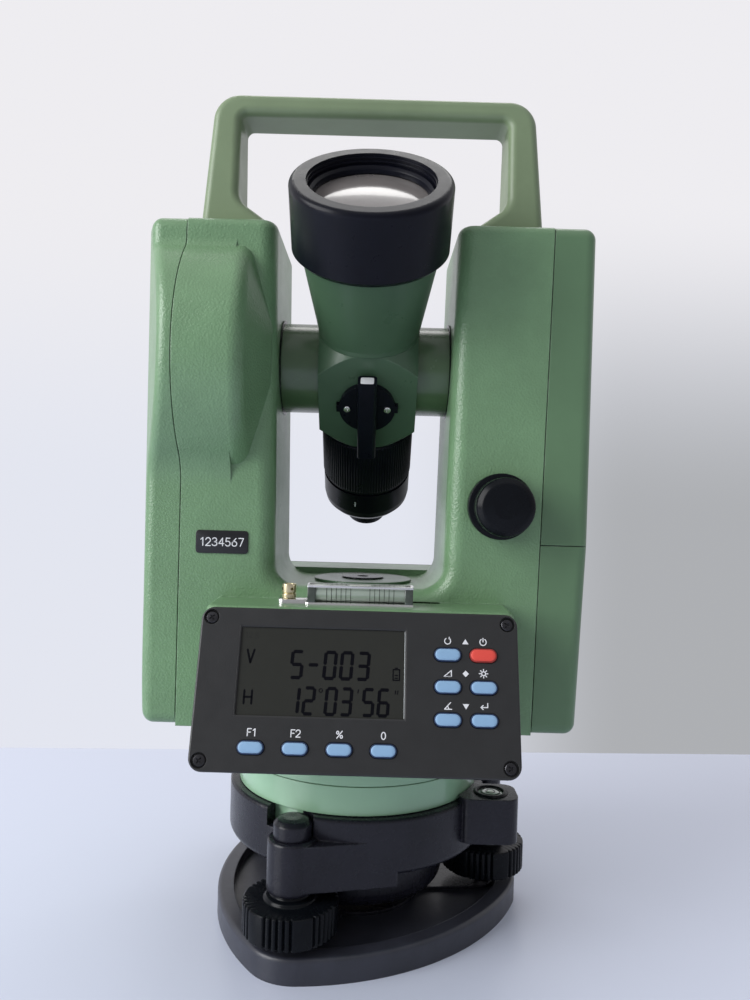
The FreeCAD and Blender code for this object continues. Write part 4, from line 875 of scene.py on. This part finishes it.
PLATE_MIDDLE = (-53.8, -31.0, 150.0)  # on the flat front of the left standard
plate_place = place_at(Vector(PLATE_MIDDLE) * MM, (0, -1, 0), (1, 0, 0))
bm = bmesh.new()
add_slab(bm, rectangle(-10, -4.4, 10, 4.4, 1.4), -0.05, 0.5, edge=0.2)
show(bm, "number_plate", "alidade", "plate_black", slot="panel_plastic", at=plate_place)
bm = bmesh.new()
add_word(bm, "1234567", 0, 0, 3.0, 0.38, 0.45, 0.56, gap=0.66)
show(bm, "number_plate_figures", "alidade", "mark_white", slot="panel_plastic", at=plate_place)

tray_low, tray_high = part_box("plate_level_frame")
tray_place = place_at((tray_low.x, tray_low.y, tray_low.z))
TRAY_LENGTH, TRAY_DEPTH = ((tray_high - tray_low) / MM).xy
LUG_LENGTH = 10.5
bm = bmesh.new()
add_slab(bm, rectangle(LUG_LENGTH, 0, TRAY_LENGTH, TRAY_DEPTH, 0.8), 0, 1.0, edge=0.25)
add_slab(bm, rectangle(0, 0.5, LUG_LENGTH + 0.5, TRAY_DEPTH - 0.5, 2.2), 0, 1.9, edge=0.3)
rim = [rectangle(LUG_LENGTH, 0, TRAY_LENGTH, TRAY_DEPTH, 0.8),
       rectangle(LUG_LENGTH + 0.7, 0.7, TRAY_LENGTH - 0.7, TRAY_DEPTH - 0.7, 0.4)]
rows = [
    [bm.verts.new((point.x, point.y, height)) for point in outline]
    for outline, height in ((rim[0], 6.5), (rim[0], 7.2), (inset(rim[0], 0.15), 7.35), (rim[1], 7.35),
                            (rim[1], 6.5))
]
close_rows(bm, rows)
add_slab(bm, rectangle(LUG_LENGTH + 0.3, TRAY_DEPTH - 0.9, TRAY_LENGTH - 0.3, TRAY_DEPTH - 0.2), 0.8, 6.8,
         edge=0.1)
tray = show(bm, "plate_level_tray", "alidade", "bright_metal", at=tray_place, sharp=30)
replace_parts(tray, "plate_level_frame")
bm = bmesh.new()
for start in (LUG_LENGTH + 0.25, TRAY_LENGTH - 3.25):
    add_slab(bm, rectangle(start, 0.3, start + 3.0, TRAY_DEPTH - 0.95, 0.4), 0.9, 6.6, edge=0.2)
show(bm, "plate_level_ends", "alidade", "level_block", slot="bright_metal", at=tray_place)

vial_low, vial_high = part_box("plate_level_vial")
vial_place = place_at((vial_low.x, centre_of("plate_level_vial").y, centre_of("plate_level_vial").z),
                      (1, 0, 0), (0, 0, 1))
VIAL_LENGTH = (vial_high.x - vial_low.x) / MM
VIAL_RADIUS = (vial_high.z - vial_low.z) / 2 / MM
vial = lathe("plate_vial_liquid", [(0, 0), (VIAL_RADIUS, 0), (VIAL_RADIUS, VIAL_LENGTH), (0, VIAL_LENGTH)],
             vial_place, "alidade", "vial_liquid", slot="level_glass", soft=0.8, steps=64)
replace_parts(vial, "plate_level_vial")
ticks = bmesh.new()
for step in [-7, -6, -5, -4, -3, -2, 2, 3, 4, 5, 6, 7]:
    height = VIAL_LENGTH / 2 + 1.75 * step
    add_lathe(ticks, [(VIAL_RADIUS - 0.4, height - 0.1), (VIAL_RADIUS + 0.04, height - 0.1),
                      (VIAL_RADIUS + 0.04, height + 0.1), (VIAL_RADIUS - 0.4, height + 0.1)],
              soft=0.02, steps=64)
show(ticks, "plate_vial_marks", "alidade", "mark_black", slot="level_glass", at=vial_place)
bubble_place = place_at((vial_low.x + VIAL_LENGTH / 2 * MM, centre_of("plate_level_vial").y, vial_high.z),
                        (0, 0, 1), (1, 0, 0))
bm = bmesh.new()
add_layers(bm, [(stadium(0, 0, 8.5, 2.6), -0.5), (stadium(0, 0, 8.5, 2.6), -0.1),
                (stadium(0, 0, 7.6, 1.6), 0.08)])
show(bm, "plate_vial_bubble", "alidade", "bubble", slot="level_glass", at=bubble_place)

screw_mid = centre_of("plate_level_screw")
capstan_place = place_at((screw_mid.x, screw_mid.y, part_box("plate_level_screw")[0].z))
capstan = lathe(
    "plate_level_capstan",
    [(0, 0), (1.5, 0), (1.5, 2), (2.6, 2), (2.6, 3.4), (2.1, 3.7), (2.6, 4.0), (2.6, 7.1), (1.6, 7.1),
     (1.6, 6.4), (0, 6.4)],
    capstan_place, "alidade", "brass", soft=0.25, steps=48,
)
for turn in (0.0, math.pi / 2):
    bm = bmesh.new()
    add_lathe(bm, [(0, -4), (0.55, -4), (0.55, 4), (0, 4)], soft=0.0, steps=24)
    hole = capstan_place @ Matrix.Translation((0, 0, 5.4)) @ Matrix.Rotation(turn + 0.5, 4, "Z")
    carve(capstan, bm, hole @ Matrix.Rotation(math.pi / 2, 4, "X"))
capstan.data.set_sharp_from_angle(angle=math.radians(38))
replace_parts(capstan, "plate_level_screw")

saddle_low, saddle_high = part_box("saddle_cover")
SADDLE_RISE = (saddle_high.z - saddle_low.z) / MM
saddle_place = place_at((0, 0, saddle_low.z))
# The saddle disc takes the telescope's darker green, which holds painted shade.
disc = lathe("saddle_disc", [(8.8, 0), (20.2, 0), (20.2, 1.1), (8.8, 1.1)], saddle_place, "alidade",
             "scope_green", slot="green_paint", soft=0.4)
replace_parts(disc, "saddle_cover")
lathe("saddle_hub", [(0, 0), (8.5, 0), (8.5, SADDLE_RISE), (2.4, SADDLE_RISE), (2.0, 0.9), (0, 0.9)],
      saddle_place, "alidade", "knob_black", slot="green_paint", soft=0.35, steps=72)


# -------------------- telescope

SCOPE = place_at(JOINTS["telescope_tilt"]["pos_m"], JOINTS["focus_turn"]["axis"], (1, 0, 0))


def ribbed(count, depth, radius, low, high):
    """Grip for a lathe: fine ribs along the axis between two heights."""
    def grip(angle, reach, height):
        if reach < radius - 0.9 or not low < height < high:
            return 0
        return depth * (0.5 - 0.5 * math.cos(angle * count))
    return grip


low, high = local_box(points_of("focus_ring"), SCOPE)
focus = lathe(
    "focus_ring_grip",
    [(15.06, low.z), (19.3, low.z), (19.3, low.z + 1.6), (20, low.z + 1.9), (20, high.z - 1.9),
     (19.3, high.z - 1.6), (19.3, high.z), (15.06, high.z)],
    SCOPE, "focus_ring", "scope_black", soft=0.35, steps=600, curve=2, sharp=60,
    grip=ribbed(100, 0.36, 20, low.z + 1.75, high.z - 1.75),
)
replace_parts(focus, "focus_ring")

low, high = local_box(points_of("eyepiece"), SCOPE)
eyepiece = lathe(
    "eyepiece_grip",
    [(4.5, low.z + 1), (7.9, low.z), (9, low.z + 0.9), (9, low.z + 10.2), (7, low.z + 10.3), (7, high.z),
     (4.5, high.z)],
    SCOPE, "eyepiece", "scope_black", soft=0.5, steps=360, curve=3,
    grip=ribbed(60, 0.3, 9, low.z + 1.6, low.z + 9.4), sharp=60,
)
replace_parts(eyepiece, "eyepiece")
lathe("eyepiece_lens", [(0, low.z + 2.2), (4.45, low.z + 2.6), (4.45, low.z + 4), (0, low.z + 4)], SCOPE,
      "eyepiece", "lens_dark", slot="lens_glass", soft=0.2, steps=48)

low, high = local_box(points_of("objective_lens"), SCOPE)
lens = lathe(
    "objective_glass",
    [(0, low.z + 0.4), (23.9, low.z + 1.6), (23.9, high.z - 2.2), (20.6, high.z - 1.35), (14, high.z - 0.6),
     (7, high.z - 0.15), (0, high.z)],
    SCOPE, "telescope", "lens_coated", slot="lens_glass", soft=1.5, steps=128, curve=6, sharp=60,
)
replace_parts(lens, "objective_lens")
lathe(
    "objective_retainer",
    [(20.5, high.z - 1.2), (23.15, high.z - 1.2), (23.15, high.z + 1.4), (22.0, high.z + 1.6),
     (20.9, high.z + 0.7)],
    SCOPE, "telescope", "scope_black", soft=0.25, steps=128,
)
for index, height in enumerate((2.6, 4.0)):
    lathe(
        "hood_step_%d" % index,
        [(22.75, high.z + height - 0.35), (23.25, high.z + height - 0.35), (23.25, high.z + height + 0.35),
         (22.75, high.z + height + 0.35)],
        SCOPE, "telescope", "scope_black", soft=0.2, steps=128, curve=2,
    )

axle_points = points_of("trunnion_axles")
pivot = Vector(JOINTS["telescope_tilt"]["pos_m"])
for name, side in (("left", -1), ("right", 1)):
    wide = [p.x * side for p in axle_points if math.hypot(p.y - pivot.y, p.z - pivot.z) > 0.017]
    end = max(wide)
    lathe(
        "trunnion_gasket_" + name, [(16.5, 0.06), (19.6, 0.06), (19.6, 0.42), (16.5, 0.42)],
        place_at((side * end, pivot.y, pivot.z), (side, 0, 0)), "alidade", "knob_black", slot="scope_black",
        soft=0.15, steps=96,
    )

bm = bmesh.new()
add_slab(bm, bar((0, 0), (2.4, 0), 0.7), 19.55, 19.74, edge=0.05)
index_place = SCOPE @ Matrix.Translation((0, 0, -58.5)) @ Matrix.Rotation(math.radians(-104), 4, "Z")
show(bm, "ocular_index", "telescope", "mark_white", slot="scope_black",
     at=index_place @ Matrix.Rotation(math.radians(90), 4, "Y"))

heads = []
for points in loose_parts("sight_screws"):
    low, high = local_box(points, SCOPE)
    middle = (low + high) / 2
    side = -1 if middle.y < 0 else 1
    level = low.y if side < 0 else high.y
    origin = SCOPE @ Vector((middle.x, level, middle.z))
    out = (SCOPE.to_3x3() @ Vector((0, side, 0))).normalized()
    turned = Matrix.Rotation(0.3 + 0.9 * len(heads), 4, "Z")
    heads.append(place_at(origin, out, (1, 0, 0)) @ turned)
cross_screws("sight_cross_screws", "sight_screws", 1.5, 0.8, heads, "telescope", "bright_metal")

SIGHT_WINDOW_IN = 3.25  # from a sight's outer face to the middle of its window
for name, side in (("sight_window", -1), ("rear_sight_window", 1)):
    low, high = local_box([p for p in points_of("peep_sights") if (SCOPE.inverted() @ p).y * side > 0],
                          SCOPE)
    outer = high.y if side > 0 else low.y
    bm = bmesh.new()
    add_slab(bm, rectangle(-2.6, -2.1, 2.6, 2.1, 0.8), -0.3, 0.12, edge=0.05)
    window_place = SCOPE @ Matrix.Translation((0, outer - side * SIGHT_WINDOW_IN, high.z))
    show(bm, name, "telescope", "mark_white", slot="scope_black", at=window_place)


# -------------------- clamps, plummet, handle

for name in ("vertical", "horizontal"):
    place = joint_place(name + "_clamp_turn")
    ring = lathe(
        name + "_clamp_ring",
        [(5.06, -5), (8, -5), (8, 0.3), (10, 0.3), (10, 2), (12.5, 2), (12.5, 7), (5.06, 7)],
        place, name + "_clamp", "knob_black", soft=0.5, steps=432, curve=3,
        grip=ribbed(72, 0.28, 12.5, 2.6, 6.4), sharp=60,
    )
    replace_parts(ring, name + "_clamp")
    knob = lathe(
        name + "_tangent_knob",
        [(0, -7.5), (5, -7.5), (5, 7.2), (10.85, 7.2), (10.85, 17.2, 1.6), (8.6, 18.8, 2.5), (4.5, 19.3, 3),
         (0, 19.36)],
        place, name + "_tangent", "knob_black", soft=0.6, steps=128, curve=6, sharp=50,
    )
    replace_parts(knob, name + "_tangent")

low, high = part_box("plummet_eyepiece")
plummet_place = place_at((0, low.y, (low.z + high.z) / 2), (0, 1, 0))
plummet = lathe(
    "plummet_grip",
    [(2.5, 0), (4, 0), (4, 11.3), (7.2, 11.3), (7.2, 21), (6.2, 22.4), (3.2, 22.4), (2.5, 20)],
    plummet_place, "plummet_eyepiece", "scope_black", soft=0.5, steps=288, curve=3,
    grip=ribbed(48, 0.3, 7.2, 12.5, 20), sharp=60,
)
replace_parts(plummet, "plummet_eyepiece")
lathe("plummet_lens", [(0, 19), (2.6, 19), (2.6, 20.4), (0, 20.8)], plummet_place, "plummet_eyepiece",
      "lens_dark", slot="lens_glass", soft=0.2, steps=48)

heads = []
for points in loose_parts("handle_screws"):
    xs = [point.x for point in points]
    ys = [point.y for point in points]
    top = max(point.z for point in points)
    middle = ((min(xs) + max(xs)) / 2, (min(ys) + max(ys)) / 2, top)
    heads.append(place_at(middle) @ Matrix.Rotation(len(heads), 4, "Z"))
cross_screws("handle_cross_screws", "handle_screws", 3.4, 3.0, heads, "alidade", "screw_steel")


# -------------------- camera, light and stage

TABLE_SLANT = 3.3  # degrees between the table's back edge and the wall


def build_stage():
    half, back, front, thick = 1500.0, 193.0, -1500.0, 30.0
    bm = bmesh.new()
    slant = half * math.tan(math.radians(TABLE_SLANT))
    corners = [(-half, front), (half, front), (half, back + slant), (-half, back - slant)]
    add_slab(bm, soften(corners, 12.0), -thick, 0.0, edge=4.0)
    mesh = bpy.data.meshes.new("table")
    bmesh.ops.transform(bm, matrix=Matrix.Scale(MM, 4), verts=bm.verts)
    bmesh.ops.recalc_face_normals(bm, faces=bm.faces)
    bm.to_mesh(mesh)
    bm.free()
    table = bpy.data.objects.new("table", mesh)
    bpy.context.scene.collection.objects.link(table)
    table_look = coated(
        "table_top", (0.61, 0.65, 0.78), 0.3, [("noise", 30.0, 0.05, 0.2)], vary=0.01, scale=3.0,
        rough_vary=0.04,
    )
    mesh.materials.append(table_look)


CAMERA_AT = (0.0042, -0.340, 0.1714)
CAMERA_DOWN, CAMERA_ROLL = 0.7, 1.6  # degrees
LENS_MM = 29.12


def build_camera():
    data = bpy.data.cameras.new("camera")
    data.sensor_width = 36.0
    data.lens = LENS_MM
    camera = bpy.data.objects.new("camera", data)
    bpy.context.scene.collection.objects.link(camera)
    pitch = Matrix.Rotation(math.radians(90 - CAMERA_DOWN), 4, "X")
    roll = Matrix.Rotation(math.radians(CAMERA_ROLL), 4, "Z")
    camera.matrix_world = Matrix.Translation(CAMERA_AT) @ pitch @ roll
    bpy.context.scene.camera = camera


def area_light(name, at, aim, width, height, watts, colour):
    data = bpy.data.lights.new(name, "AREA")
    data.shape = "RECTANGLE"
    data.size, data.size_y = width, height
    data.energy = watts
    data.color = colour
    light = bpy.data.objects.new(name, data)
    bpy.context.scene.collection.objects.link(light)
    light.location = at
    light.rotation_euler = (Vector(aim) - Vector(at)).to_track_quat("-Z", "Y").to_euler()
    light.visible_camera = False


def build_world():
    world = bpy.data.worlds.new("studio")
    bpy.context.scene.world = world
    world.use_nodes = True
    tree = world.node_tree
    background = tree.nodes["Background"]
    direction = node(tree, "TexCoord").outputs["Generated"]
    split = node(tree, "SeparateXYZ", Vector=direction)

    def ramp(value, first, last, low, high):
        made = node(
            tree, "MapRange", {"interpolation_type": "SMOOTHSTEP"},
            From_Min=first, From_Max=last, To_Min=low, To_Max=high,
        )
        tree.links.new(value, made.inputs["Value"])
        return made.outputs["Result"]

    def maths(kind, first, second):
        made = node(tree, "Math", {"operation": kind})
        for index, part in enumerate((first, second)):
            if isinstance(part, bpy.types.NodeSocket):
                tree.links.new(part, made.inputs[index])
            else:
                made.inputs[index].default_value = part
        return made.outputs["Value"]

    ahead = ramp(split.outputs["Y"], -0.2, 0.6, 0.0, 1.0)
    deep = maths("MAXIMUM", split.outputs["Y"], 0.2)
    right = ramp(maths("DIVIDE", split.outputs["X"], deep), 0.02, 0.32, 0.0, 1.0)
    low = ramp(maths("DIVIDE", split.outputs["Z"], deep), 0.37, -0.03, 0.0, 1.0)
    shadow = maths("MULTIPLY", maths("MULTIPLY", right, low), ahead)
    above = ramp(split.outputs["Z"], 0.5, 0.9, 0.0, 1.0)
    pale = node(tree, "MixRGB", Fac=low, Color1=(0.855, 0.845, 0.875, 1), Color2=(0.77, 0.79, 0.87, 1))
    wall = node(tree, "MixRGB", Fac=shadow, Color1=pale.outputs["Color"], Color2=(0.42, 0.43, 0.45, 1))
    room = node(tree, "MixRGB", Fac=ahead, Color1=(0.33, 0.33, 0.35, 1), Color2=wall.outputs["Color"])
    room = node(tree, "MixRGB", Fac=above, Color1=room.outputs["Color"], Color2=(0.7, 0.7, 0.72, 1))
    tree.links.new(room.outputs["Color"], background.inputs["Color"])
    background.inputs["Strength"].default_value = 1.0


build_stage()
build_camera()
build_world()
area_light("skylight", (0.0, 0.55, 1.3), (0, -0.05, 0.27), 0.8, 0.3, 2.6, (1.0, 0.99, 0.97))
area_light("window", (-1.3, -0.7, 0.75), (0, 0, 0.15), 1.0, 1.2, 26.0, (0.98, 0.99, 1.0))
bpy.context.scene.view_settings.view_transform = "Standard"
